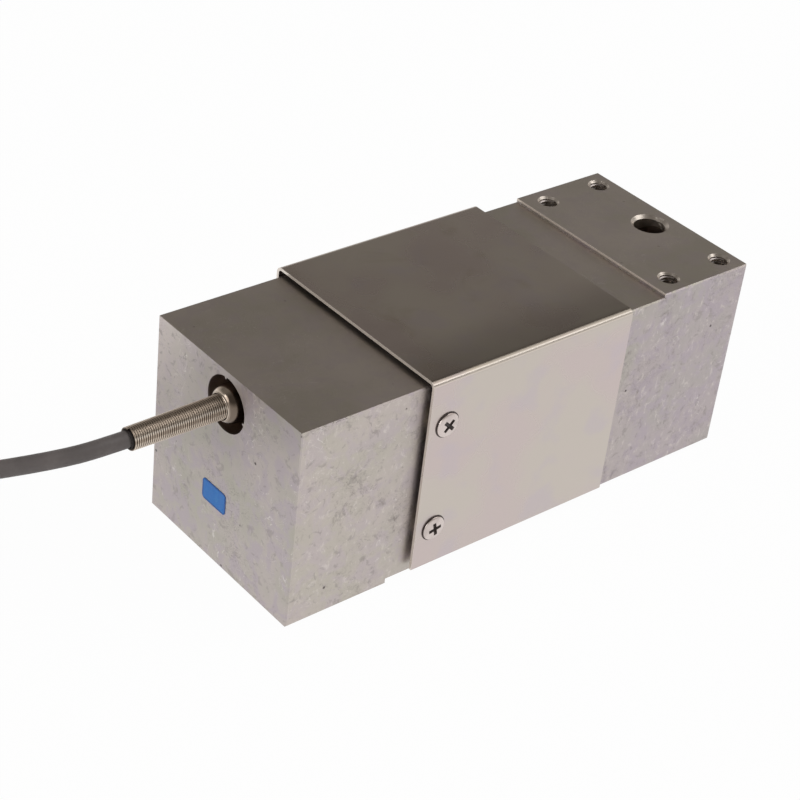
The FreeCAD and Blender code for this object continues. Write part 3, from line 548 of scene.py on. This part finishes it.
def spring_steel(colour, crest, taper, foot):
    """Drawn wire, with oil and painted shade between the turns, painted shade on the
    upper flank and in a band just above the middle, and a painted highlight band
    between them.
    """
    f, tone = hazed("spring_steel", colour, 0.22)
    x, y, z = f.axes()
    rise = f.less(z, CABLE_AXIS.z)
    out = f.radius(y, rise)
    outline = f.sum(f.times(f.less(x, foot), taper), crest)
    # Oil and painted shade where the turns meet.
    groove = f.ranged(f.less(outline, out), 0.00003, 0.00016)
    above = f.over(rise, out)
    # Painted shade in a band just above the middle and on the upper flank.
    low = f.ranged(f.off(above, 0.17), 0.08, 0.2, 0.5, 0.0)
    shade_bands = f.either(f.ranged(above, 0.6, 0.8, 0.0, 0.4), low)
    # Painted highlight in a band between the shaded ones.
    rubs_and_sheen = f.ranged(f.off(above, 0.48), 0.04, 0.12, 0.7, 0.0)
    tone = f.mixed(rubs_and_sheen, tone, tint("fff6ea"))
    tone = f.mixed(shade_bands, tone, tint("7a6553"))
    f.colour(f.mixed(f.times(groove, 0.85), tone, tint("4d3c30")))
    return f.material


def label_film(colour):
    """Blank printed film with a darker border and a faint sheen of wear."""
    f = Finish("label_film", Specular_IOR_Level=0.3)
    _, y, z = f.axes()
    low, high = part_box("end_label")
    middle, half = (low + high) / 2, (high - low) / 2
    inset = f.either(
        f.less(f.off(y, middle.y), half.y), f.less(f.off(z, middle.z), half.z)
    )
    border = f.ranged(inset, -0.0007, -0.0003)
    wear = f.noise(520.0, 3.0, 0.6)
    face = f.mixed(f.ranged(wear, 0.45, 0.7, 0.0, 0.35), colour, tint("5b9ad6"))
    f.colour(f.mixed(f.times(border, 0.75), face, tint("1b4f9c")))
    f.rough(f.ranged(wear, 0.3, 0.7, 0.38, 0.55))
    f.relief(wear, 0.000008)
    return f.material


def moulded(name, colour, rough=0.5, grain=900.0, depth=0.00002):
    """Plastic or rubber with a fine skin and slight dust."""
    f = Finish(name)
    clouds = f.noise(140.0, 3.0, 0.6)
    skin = f.noise(grain, 3.0, 0.6)
    f.colour(
        f.mixed(f.ranged(clouds, 0.35, 0.7), darker(colour, 0.86), darker(colour, 1.08))
    )
    f.rough(f.ranged(skin, 0.3, 0.7, rough - 0.06, rough + 0.1))
    f.relief(skin, depth)
    return f.material


# ---------------------------------------------------------------- modelling


def clear_selection():
    """Object mode, with nothing selected."""
    active = bpy.context.view_layer.objects.active
    if active is not None and active.mode != "OBJECT":
        bpy.ops.object.mode_set(mode="OBJECT")
    bpy.ops.object.select_all(action="DESELECT")


def named(name):
    """Names the object that an operator has just added."""
    piece = bpy.context.object
    piece.name = piece.data.name = name
    return piece


def edit_all():
    """Edit mode, with every edge of the active piece selected."""
    bpy.ops.object.mode_set(mode="EDIT")
    bpy.ops.mesh.select_mode(type="EDGE")
    bpy.ops.mesh.select_all(action="SELECT")


def apply_modifiers(piece):
    """Applies every modifier of the piece in order."""
    for modifier in list(piece.modifiers):
        bpy.ops.object.modifier_apply(modifier=modifier.name)


def close_up():
    """Merges doubled points and turns every face outwards."""
    edit_all()
    bpy.ops.mesh.remove_doubles(threshold=0.000002)
    bpy.ops.mesh.select_all(action="SELECT")
    bpy.ops.mesh.normals_make_consistent(inside=False)
    bpy.ops.object.mode_set(mode="OBJECT")


def finished(piece, material, angle=35.0):
    """Puts the piece's place in its mesh, shades it and hands it to the frame."""
    clear_selection()
    piece.select_set(True)
    bpy.context.view_layer.objects.active = piece
    bpy.ops.object.transform_apply(location=True, rotation=True, scale=True)
    bpy.ops.object.shade_smooth_by_angle(angle=math.radians(angle))
    piece.data.materials.clear()
    piece.data.materials.append(material)
    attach(piece, "root")
    clear_selection()


def turned(name, profile, segments=72):
    """Turns pairs of (x, radius) in millimetres round the cable's axis."""
    clear_selection()
    x, radius = profile[0]
    bpy.ops.mesh.primitive_circle_add(
        vertices=segments,
        radius=radius * MM,
        location=(x * MM, 0.0, CABLE_AXIS.z),
        rotation=(0.0, math.pi / 2, 0.0),
    )
    piece = named(name)
    edit_all()
    for (x, radius), (next_x, next_radius) in zip(profile, profile[1:]):
        bpy.ops.mesh.extrude_edges_move(
            TRANSFORM_OT_translate={"value": ((next_x - x) * MM, 0.0, 0.0)}
        )
        part = next_radius / radius
        bpy.ops.transform.resize(
            value=(1.0, part, part), center_override=(next_x * MM, 0.0, CABLE_AXIS.z)
        )
    close_up()
    return piece


def spun(name, profile, segments):
    """Turns pairs of (height, radius) in millimetres round the Z axis."""
    clear_selection()
    height, radius = profile[0]
    bpy.ops.mesh.primitive_circle_add(
        vertices=segments,
        radius=radius * MM,
        fill_type="NGON",
        location=(0.0, 0.0, height * MM),
    )
    piece = named(name)
    bpy.ops.object.transform_apply(location=True, rotation=False, scale=False)
    edit_all()
    for (height, radius), (up, out) in zip(profile, profile[1:]):
        bpy.ops.mesh.extrude_region_move(
            TRANSFORM_OT_translate={"value": (0.0, 0.0, (up - height) * MM)}
        )
        part = out / radius
        bpy.ops.transform.resize(
            value=(part, part, 1.0), center_override=(0.0, 0.0, up * MM)
        )
    close_up()
    return piece


def repaint(material, *names):
    """Gives CAD parts a material, in every slot that they have."""
    for name in names:
        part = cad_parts[name]
        part.data.materials.clear()
        part.data.materials.append(material)


# ---------------------------------------------------------------- operators


class Step:
    """What every operator of this file shares."""

    bl_options = {"REGISTER", "UNDO"}


class LOADCELL_OT_stage(Step, bpy.types.Operator):
    """Set the floor, the lamps and the camera"""

    bl_idname = "loadcell.stage"
    bl_label = "Stage"

    CAMERA_PLACE = (-0.3210, -0.3235, 0.3285)
    CAMERA_ANGLES = (55.858, -5.769, -39.141)
    # Place of each lamp, its size and its part of the power that is set.
    LAMPS = {
        "front_lamp": ((0.8, -0.4, 1.1), 1.15, 1.1),
        "left_lamp": ((-1.4, 0.1, 0.75), 1.0, 1.2),
    }
    LAMP_AIM = Vector((0.0, 0.0, 0.03))
    FLOOR_RADIUS = 3.0
    # The floor lies this far under the part, and glows by itself by this share.
    FLOOR_DROP = 0.00005
    GLOW_SHARE = 0.975
    # Height in the sky and colour, at the horizon and overhead.
    SKY = ((0.04, (0.97, 0.95, 0.92, 1.0)), (0.5, (0.2, 0.187, 0.172, 1.0)))

    def execute(self, context):
        stage = context.scene.loadcell_stage
        clear_selection()
        self.set_camera(context, stage)
        self.lay_floor(stage)
        self.hang_lamps(stage)
        self.dim_sky(context)
        context.scene.view_settings.view_transform = "Standard"
        return {"FINISHED"}

    def set_camera(self, context, stage):
        """A long lens from the left, above the cable's end."""
        bpy.ops.object.camera_add(
            location=self.CAMERA_PLACE,
            rotation=[math.radians(a) for a in self.CAMERA_ANGLES],
        )
        camera = named("camera")
        camera.data.lens = stage.lens
        camera.data.sensor_width = 36.0
        camera.data.clip_start, camera.data.clip_end = 0.01, 20.0
        context.scene.camera = camera

    def lay_floor(self, stage):
        """A wide pale floor that keeps a soft shadow."""
        bpy.ops.mesh.primitive_circle_add(
            vertices=96,
            radius=self.FLOOR_RADIUS,
            fill_type="NGON",
            location=(0.0, 0.0, -self.FLOOR_DROP),
        )
        floor = named("floor")
        f = Finish("floor_paper", Roughness=0.9, Specular_IOR_Level=0.2)
        shades = darker(stage.floor, 0.9), darker(stage.floor, 0.92)
        f.colour(f.mixed(f.noise(30.0), *shades))
        path = f.put("ShaderNodeLightPath", {})
        seen = f.sum(path.outputs["Is Camera Ray"], path.outputs["Is Glossy Ray"])
        seen = f.sum(seen, path.outputs["Is Transmission Ray"])
        seen = f.times(f.sum(seen, 1.0, "MINIMUM"), self.GLOW_SHARE)
        glow = f.put("ShaderNodeEmission", {"Color": stage.floor, "Strength": 1.0})
        blend = f.put("ShaderNodeMixShader", {"Fac": seen})
        f.join(f.shader.outputs["BSDF"], blend.inputs[1])
        f.join(glow.outputs["Emission"], blend.inputs[2])
        # The underside is clear, so that the object can be looked at from below.
        below = f.put("ShaderNodeNewGeometry", {}).outputs["Backfacing"]
        clear = f.put("ShaderNodeBsdfTransparent", {})
        whole = f.put("ShaderNodeMixShader", {"Fac": below})
        f.join(blend.outputs["Shader"], whole.inputs[1])
        f.join(clear.outputs["BSDF"], whole.inputs[2])
        f.join(whole.outputs["Shader"], f.nodes["Material Output"].inputs["Surface"])
        floor.data.materials.append(f.material)

    def hang_lamps(self, stage):
        """Soft light from the front and the left."""
        for name, (place, size, part) in self.LAMPS.items():
            bpy.ops.object.light_add(type="AREA", location=place)
            lamp = named(name)
            lamp.data.shape = "DISK"
            lamp.data.size = size
            lamp.data.energy = stage.lamp * part
            aim = self.LAMP_AIM - Vector(place)
            lamp.rotation_euler = aim.to_track_quat("-Z", "Y").to_euler()

    def dim_sky(self, context):
        """A pale horizon under a dim ceiling."""
        world = context.scene.world or bpy.data.worlds.new("studio")
        context.scene.world = world
        world.use_nodes = True
        nodes, links = world.node_tree.nodes, world.node_tree.links
        nodes.clear()
        place = nodes.new("ShaderNodeTexCoord").outputs["Generated"]
        split = nodes.new("ShaderNodeSeparateXYZ")
        links.new(place, split.inputs[0])
        ramp = nodes.new("ShaderNodeValToRGB")
        links.new(split.outputs["Z"], ramp.inputs[0])
        for stop, (height, colour) in zip(ramp.color_ramp.elements, self.SKY):
            stop.position, stop.color = height, colour
        sky = nodes.new("ShaderNodeBackground")
        links.new(ramp.outputs["Color"], sky.inputs["Color"])
        sky.inputs["Strength"].default_value = 1.0
        out = nodes.new("ShaderNodeOutputWorld")
        links.new(sky.outputs["Background"], out.inputs["Surface"])


class LOADCELL_OT_cable(Step, bpy.types.Operator):
    """Lay the signal cable with its coil and its bare end"""

    bl_idname = "loadcell.cable"
    bl_label = "Cable"

    # From the end of the gland down to the coil, in millimetres.
    LEAD_IN = (
        (-87.2, 0.0, 49.4),
        (-106.5, 0.0, 49.4),
        (-122.5, 1.2, 49.3),
        (-152.5, 19.0, 43.0),
        (-167.2, 28.6, 18.4),
    )
    # From the coil to the stripped end.
    LEAD_OUT = ((-133.0, 85.15, 4.2), (-121.5, 83.4, 3.1))
    COIL_CENTRE = (-146.0, 57.0)
    # Radius and height of each place in the coil, in the order of winding.
    PLACES = (
        (28.15, 12.15),
        (23.65, 12.15),
        (23.65, 7.65),
        (23.65, 3.15),
        (28.15, 3.15),
        (28.15, 7.65),
    )
    FULL_TURN = 360.0
    # How far round its turn the cable has come when it moves to the next place.
    MOVES = (380.0, 350.0, 320.0, 290.0, 255.0)
    MOVE_SPAN = 30.0
    # The cable comes down on to its first turn over these degrees, from this high.
    SETTLING = 60.0
    RIDE = 4.6
    START_ANGLE = 195.0
    SWEEP = 1905.0
    STEP = 22.5
    # A curve through these steps runs this much nearer the centre than its controls.
    CONTROL_SHARE = 0.987

    def place_at(self, swept):
        """Radius and height of the coil after so many degrees."""
        radius, height = self.PLACES[0]
        for turn, move in enumerate(self.MOVES):
            part = (swept - self.FULL_TURN * turn - move) / self.MOVE_SPAN + 0.5
            part = min(1.0, max(0.0, part))
            part = part * part * (3.0 - 2.0 * part)
            next_radius, next_height = self.PLACES[turn + 1]
            radius += (next_radius - radius) * part
            height += (next_height - height) * part
        return radius, height

    def wound(self):
        """Points of the coil, wound clockwise as seen from above."""
        steps = round(self.SWEEP / self.STEP)
        for step in range(steps + 1):
            swept = self.SWEEP * step / steps
            radius, height = self.place_at(swept)
            if step < steps:
                radius /= self.CONTROL_SHARE
            if swept < self.SETTLING:
                part = math.pi * swept / self.SETTLING
                height += self.RIDE * (1.0 + math.cos(part)) / 2.0
            angle = math.radians(self.START_ANGLE - swept)
            yield (
                self.COIL_CENTRE[0] + radius * math.cos(angle),
                self.COIL_CENTRE[1] + radius * math.sin(angle),
                height,
            )

    def execute(self, context):
        cable = context.scene.loadcell_cable
        clear_selection()
        line = bpy.data.curves.new("signal_cable", "CURVE")
        line.dimensions = "3D"
        run = line.splines.new("NURBS")
        route = [*self.LEAD_IN, *self.wound(), *self.LEAD_OUT]
        run.points.add(len(route) - 1)
        for point, place in zip(run.points, route):
            point.co = (*(v * MM for v in place), 1.0)
        run.order_u = 3
        run.use_endpoint_u = True
        run.resolution_u = 6
        line.bevel_depth = cable.diameter / 2
        line.bevel_resolution = 6
        line.use_fill_caps = True
        piece = bpy.data.objects.new("signal_cable", line)
        context.collection.objects.link(piece)
        vinyl = moulded("pvc_jacket", cable.jacket, 0.55, 1400.0, 0.000015)
        line.materials.append(vinyl)
        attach(piece, "root")
        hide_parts("cable_run", "cable_coil", "cable_tail")
        return {"FINISHED"}


class LOADCELL_OT_spring(Step, bpy.types.Operator):
    """Wind the bend relief spring"""

    bl_idname = "loadcell.spring"
    bl_label = "Spring"

    FOOT = -74.75
    WIRE_SIDES = 12
    STEPS_ROUND = 36

    def execute(self, context):
        spring = context.scene.loadcell_spring
        clear_selection()
        bpy.ops.mesh.primitive_circle_add(
            vertices=self.WIRE_SIDES,
            radius=spring.wire / 2,
            location=(self.FOOT * MM, 0.0, CABLE_AXIS.z),
            rotation=(math.pi / 2, 0.0, 0.0),
        )
        piece = named("wound_spring")
        bpy.ops.object.transform_apply(location=False, rotation=True, scale=False)
        edit_all()
        bpy.ops.transform.translate(
            value=(-spring.wire / 2, 0.0, spring.radius - spring.wire / 2)
        )
        bpy.ops.object.mode_set(mode="OBJECT")
        winding = piece.modifiers.new("winding", "SCREW")
        winding.axis = "X"
        winding.screw_offset = -spring.pitch
        winding.iterations = spring.turns
        winding.steps = winding.render_steps = self.STEPS_ROUND
        winding.use_smooth_shade = True
        taper = piece.modifiers.new("taper", "SIMPLE_DEFORM")
        taper.deform_method = "TAPER"
        taper.deform_axis = "X"
        taper.factor = 1.0 - spring.end_radius / spring.radius
        apply_modifiers(piece)
        edit_all()
        bpy.ops.mesh.fill_holes(sides=0)
        close_up()
        length = spring.pitch * spring.turns
        taper = (spring.radius - spring.end_radius) / length
        metal = spring_steel(spring.steel, spring.radius, taper, self.FOOT * MM)
        finished(piece, metal, 60.0)
        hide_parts("relief_spring")
        return {"FINISHED"}


class LOADCELL_OT_collar(Step, bpy.types.Operator):
    """Turn the rounded collar that holds the spring"""

    bl_idname = "loadcell.collar"
    bl_label = "Collar"

    # Rolled collar: from the back, over the crown and into the mouth.
    PROFILE = (
        (-70.45, 3.6),
        (-70.45, 4.7),
        (-70.6, 4.93),
        (-70.95, 5.06),
        (-71.5, 5.1),
        (-74.9, 5.1),
        (-75.6, 5.05),
        (-76.3, 4.9),
        (-76.9, 4.66),
        (-77.4, 4.34),
        (-77.7, 4.04),
        (-77.82, 3.84),
        (-77.86, 3.76),
        (-78.02, 3.74),
        (-78.14, 3.66),
        (-78.19, 3.58),
        (-78.12, 3.5),
        (-77.9, 3.46),
        (-77.0, 3.46),
        (-70.45, 3.6),
    )

    def execute(self, context):
        finish = context.scene.loadcell_finish
        piece = turned("rolled_collar", self.PROFILE)
        finished(piece, shaded_plate(finish.nickel), 50.0)
        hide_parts("gland_ferrule")
        repaint(
            plated("nickel_body", finish.nickel, 0.2), "gland_body", "gland_washer"
        )
        return {"FINISHED"}


class LOADCELL_OT_threads(Step, bpy.types.Operator):
    """Cut the screw threads of the tapped holes"""

    bl_idname = "loadcell.threads"
    bl_label = "Threads"

    # Millimetres: x of the holes, and the height where a thread starts and its way.
    ROWS = (
        ("platform", (71.1, 51.3), 59.0, -1.0),
        ("base", (-71.1, -51.3), 1.0, 1.0),
    )
    ACROSS = 24.0
    STEPS_ROUND = 28
    # Part of a ridge's height that is sunk in the wall.
    SUNK = 0.5

    def execute(self, context):
        thread = context.scene.loadcell_thread
        block = context.scene.loadcell_finish.block
        metal = plated("cut_thread", darker(block, 0.8), 0.3)
        for row, places, height, way in self.ROWS:
            first = None
            for x in places:
                for y in (-self.ACROSS, self.ACROSS):
                    where = Vector((x, y, height)) * MM
                    if first is None:
                        first, start = self.cut(thread, row, where, way), where
                        piece = first
                    else:
                        piece = first.copy()
                        piece.data = first.data.copy()
                        context.collection.objects.link(piece)
                        piece.data.transform(Matrix.Translation(where - start))
                    side = "left" if y > 0 else "right"
                    end = "outer" if x == places[0] else "inner"
                    piece.name = piece.data.name = f"{row}_thread_{end}_{side}"
                    finished(piece, metal, 40.0)
        return {"FINISHED"}

    def cut(self, thread, row, where, way):
        """One ridge that winds down a hole."""
        clear_selection()
        bpy.ops.mesh.primitive_circle_add(
            vertices=3,
            radius=thread.height,
            location=where,
            rotation=(math.pi / 2, 0.0, 0.0),
        )
        piece = named(f"{row}_thread")
        bpy.ops.object.transform_apply(location=False, rotation=True, scale=False)
        edit_all()
        bpy.ops.transform.rotate(
            value=math.pi / 2, orient_axis="Y", center_override=where
        )
        out = thread.radius - thread.height * self.SUNK
        bpy.ops.transform.translate(value=(out, 0, 0))
        bpy.ops.object.mode_set(mode="OBJECT")
        winding = piece.modifiers.new("winding", "SCREW")
        winding.axis = "Z"
        winding.screw_offset = thread.pitch * way
        winding.iterations = thread.turns
        winding.steps = winding.render_steps = self.STEPS_ROUND
        winding.use_smooth_shade = False
        apply_modifiers(piece)
        edit_all()
        bpy.ops.mesh.fill_holes(sides=0)
        close_up()
        return piece


class LOADCELL_OT_block(Step, bpy.types.Operator):
    """Finish the sensing block"""

    bl_idname = "loadcell.block"
    bl_label = "Block"

    def execute(self, context):
        finish = context.scene.loadcell_finish
        repaint(SatinAluminium(finish.block).material, "sensing_block")
        repaint(label_film(finish.label), "end_label")
        return {"FINISHED"}


class LOADCELL_OT_cover(Step, bpy.types.Operator):
    """Finish the cover and its spacers"""

    bl_idname = "loadcell.cover"
    bl_label = "Cover"

    def execute(self, context):
        finish = context.scene.loadcell_finish
        repaint(sheet_metal(finish.cover), "cover")
        repaint(
            moulded("spacer_nylon", tint("d9d4c6"), 0.45),
            *(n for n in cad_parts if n.startswith("cover_spacer")),
        )
        return {"FINISHED"}


class LOADCELL_OT_screws(Step, bpy.types.Operator):
    """Model the cross recessed screws of the cover"""

    bl_idname = "loadcell.screws"
    bl_label = "Cover screws"

    # Axis height and radius in millimetres: a dark ring that stands in for the shadow
    # under the head, undercut, rim and dome.
    PROFILE = (
        (-2.0, 1.6),
        (0.0, 1.6),
        (0.0, 3.72),
        (0.1, 3.72),
        (0.12, 3.3),
        (0.24, 3.36),
        (0.36, 3.43),
        (0.5, 3.38),
        (0.66, 3.16),
        (0.79, 2.8),
        (0.88, 2.3),
        (0.93, 1.5),
        (0.93, 0.0),
    )

    # Distance of the heads' seats from the middle of the block.
    SEAT = 0.0322
    # How far each cross is turned, in degrees.
    TURNS = {"front_upper": 47, "front_lower": 12, "rear_upper": 30, "rear_lower": 65}
    # The faces painted dark as shade lie within this reach and depth of the cross, or
    # in the ring of painted shadow.
    CROSS_REACH, CROSS_TOP, RING_TOP = 0.0023, 0.00085, 0.0002
    ARM_SIZE = (0.0043, 0.0011, 0.0008)
    ARM_HEIGHT, ARM_WAIST, ARM_TAPER = 0.00062, 0.0006, 0.45

    def execute(self, context):
        head = self.head()
        steel = plated("zinc_steel", tint("d2c6c1"), 0.24)
        # Painted shade for the cross recesses and for the ring under each head.
        dark = moulded("screw_shade", tint("4a3f3c"), 0.45)
        for name in sorted(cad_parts):
            if not name.startswith("cover_screw"):
                continue
            low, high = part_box(name)
            outward = -1.0 if low.y < 0.0 else 1.0
            seat = (low + high) / 2
            seat.y = self.SEAT * outward
            turn = self.TURNS[name.removeprefix("cover_screw_")]
            stand = Matrix.Rotation(math.radians(-90 * outward), 4, "X")
            spin = Matrix.Rotation(math.radians(turn), 4, "Z")
            piece = head.copy()
            piece.data = head.data.copy()
            piece.data.transform(Matrix.Translation(seat) @ stand @ spin)
            piece.name = piece.data.name = name.replace("cover_screw", "cross_screw")
            context.collection.objects.link(piece)
            finished(piece, steel, 32.0)
            piece.data.materials.append(dark)
            for face in piece.data.polygons:
                offset = face.center - seat
                height = offset.y * outward
                across = math.hypot(offset.x, offset.z)
                in_cross = across < self.CROSS_REACH and height < self.CROSS_TOP
                face.material_index = int(in_cross or height < self.RING_TOP)
            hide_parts(name)
        bpy.data.objects.remove(head)
        return {"FINISHED"}

    def head(self):
        """Head with a dark ring of painted shadow under it, and a tapered cross cut in
        it.
        """
        piece = spun("screw_head", self.PROFILE, 56)
        clear_selection()
        arms = []
        for turn in (0.0, math.pi / 2):
            bpy.ops.mesh.primitive_cube_add(
                size=1.0,
                location=(0.0, 0.0, self.ARM_HEIGHT),
                rotation=(0.0, 0.0, turn),
            )
            arm = named("cross_arm")
            arm.scale = self.ARM_SIZE
            bpy.ops.object.transform_apply(location=True, rotation=True, scale=True)
            edit_all()
            bpy.ops.mesh.select_all(action="DESELECT")
            bpy.ops.object.mode_set(mode="OBJECT")
            for vertex in arm.data.vertices:
                vertex.select = vertex.co.z < self.ARM_WAIST
            bpy.ops.object.mode_set(mode="EDIT")
            bpy.ops.transform.resize(
                value=(self.ARM_TAPER, self.ARM_TAPER, 1.0),
                center_override=(0.0, 0.0, 0.0),
            )
            bpy.ops.object.mode_set(mode="OBJECT")
            arms.append(arm)
        for arm in arms:
            clear_selection()
            piece.select_set(True)
            bpy.context.view_layer.objects.active = piece
            cut = piece.modifiers.new("cross", "BOOLEAN")
            cut.operation = "DIFFERENCE"
            cut.solver = "EXACT"
            cut.object = arm
            apply_modifiers(piece)
            bpy.data.objects.remove(arm)
        return piece


class LOADCELL_OT_inside(Step, bpy.types.Operator):
    """Finish the gauges, the terminal board and the wiring"""

    bl_idname = "loadcell.inside"
    bl_label = "Gauges and wiring"

    def execute(self, context):
        finish = context.scene.loadcell_finish
        rubber = moulded("black_rubber", tint("2f2827"), 0.6)
        repaint(rubber, "gland_grommet", "spring_sleeve", "end_sleeve")
        jacket = moulded("jacket_in_gland", context.scene.loadcell_cable.jacket, 0.55)
        repaint(jacket, "cable_in_gland")
        repaint(moulded("tie_nylon", tint("1c1b1b"), 0.4), "coil_tie")
        for name, code in (
            ("red", "b3261c"),
            ("black", "1d1c1c"),
            ("white", "dedbd3"),
            ("green", "2c7a42"),
        ):
            repaint(moulded(f"core_{name}", tint(code), 0.4, 2500.0), f"lead_{name}")
        tinned = plated("tinned_copper", tint("cbc6bd"), 0.3)
        repaint(tinned, "drain_wire", "lead_tips")
        repaint(moulded("bundled_cores", tint("8d8a84"), 0.45), "core_wires")
        gauge = moulded("gauge_foil", tint("a8702c"), 0.3, 3000.0)
        seal = moulded("clear_sealant", tint("cfcac0"), 0.3, 300.0, 0.00008)
        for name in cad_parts:
            if name.startswith("strain_gauge"):
                repaint(gauge, name)
            elif name.startswith("gauge_sealant"):
                repaint(seal, name)
            elif name.startswith("bridge_ribbon"):
                repaint(moulded(f"{name}_film", tint("b5752a"), 0.35), name)
        repaint(moulded("board_mask", finish.board, 0.35, 1800.0), "terminal_board")
        foam = moulded("board_foam", tint("ded9cb"), 0.7, 1200.0, 0.00005)
        repaint(foam, "board_pad")
        return {"FINISHED"}


class LOADCELL_OT_declare(Step, bpy.types.Operator):
    """An empty step that changes nothing"""

    bl_idname = "loadcell.declare"
    bl_label = "Declare the cable"

    def execute(self, context):
        return {"FINISHED"}


class LOADCELL_PT_panel(bpy.types.Panel):
    """Lists the steps that build the load cell"""

    bl_idname = "LOADCELL_PT_panel"
    bl_label = "Load cell"
    bl_space_type = "VIEW_3D"
    bl_region_type = "UI"
    bl_category = "Load cell"

    def draw(self, context):
        column = self.layout.column(align=True)
        for step in STEPS:
            column.operator(step.bl_idname)


GROUPS = {
    "loadcell_cable": LOADCELL_PG_cable,
    "loadcell_spring": LOADCELL_PG_spring,
    "loadcell_thread": LOADCELL_PG_thread,
    "loadcell_finish": LOADCELL_PG_finish,
    "loadcell_stage": LOADCELL_PG_stage,
}
STEPS = (
    LOADCELL_OT_stage,
    LOADCELL_OT_cable,
    LOADCELL_OT_spring,
    LOADCELL_OT_collar,
    LOADCELL_OT_threads,
    LOADCELL_OT_block,
    LOADCELL_OT_cover,
    LOADCELL_OT_screws,
    LOADCELL_OT_inside,
    LOADCELL_OT_declare,
)


def register():
    for name, group in GROUPS.items():
        bpy.utils.register_class(group)
        setattr(bpy.types.Scene, name, bpy.props.PointerProperty(type=group))
    for step in STEPS:
        bpy.utils.register_class(step)
    bpy.utils.register_class(LOADCELL_PT_panel)


def unregister():
    bpy.utils.unregister_class(LOADCELL_PT_panel)
    for step in reversed(STEPS):
        bpy.utils.unregister_class(step)
    for name, group in GROUPS.items():
        delattr(bpy.types.Scene, name)
        bpy.utils.unregister_class(group)


def main():
    """Builds everything in order."""
    register()
    bpy.ops.loadcell.stage()
    bpy.ops.loadcell.cable()
    bpy.ops.loadcell.spring()
    bpy.ops.loadcell.collar()
    bpy.ops.loadcell.threads()
    bpy.ops.loadcell.block()
    bpy.ops.loadcell.cover()
    bpy.ops.loadcell.screws()
    bpy.ops.loadcell.inside()
    bpy.ops.loadcell.declare()


if __name__ == "__main__":
    main()
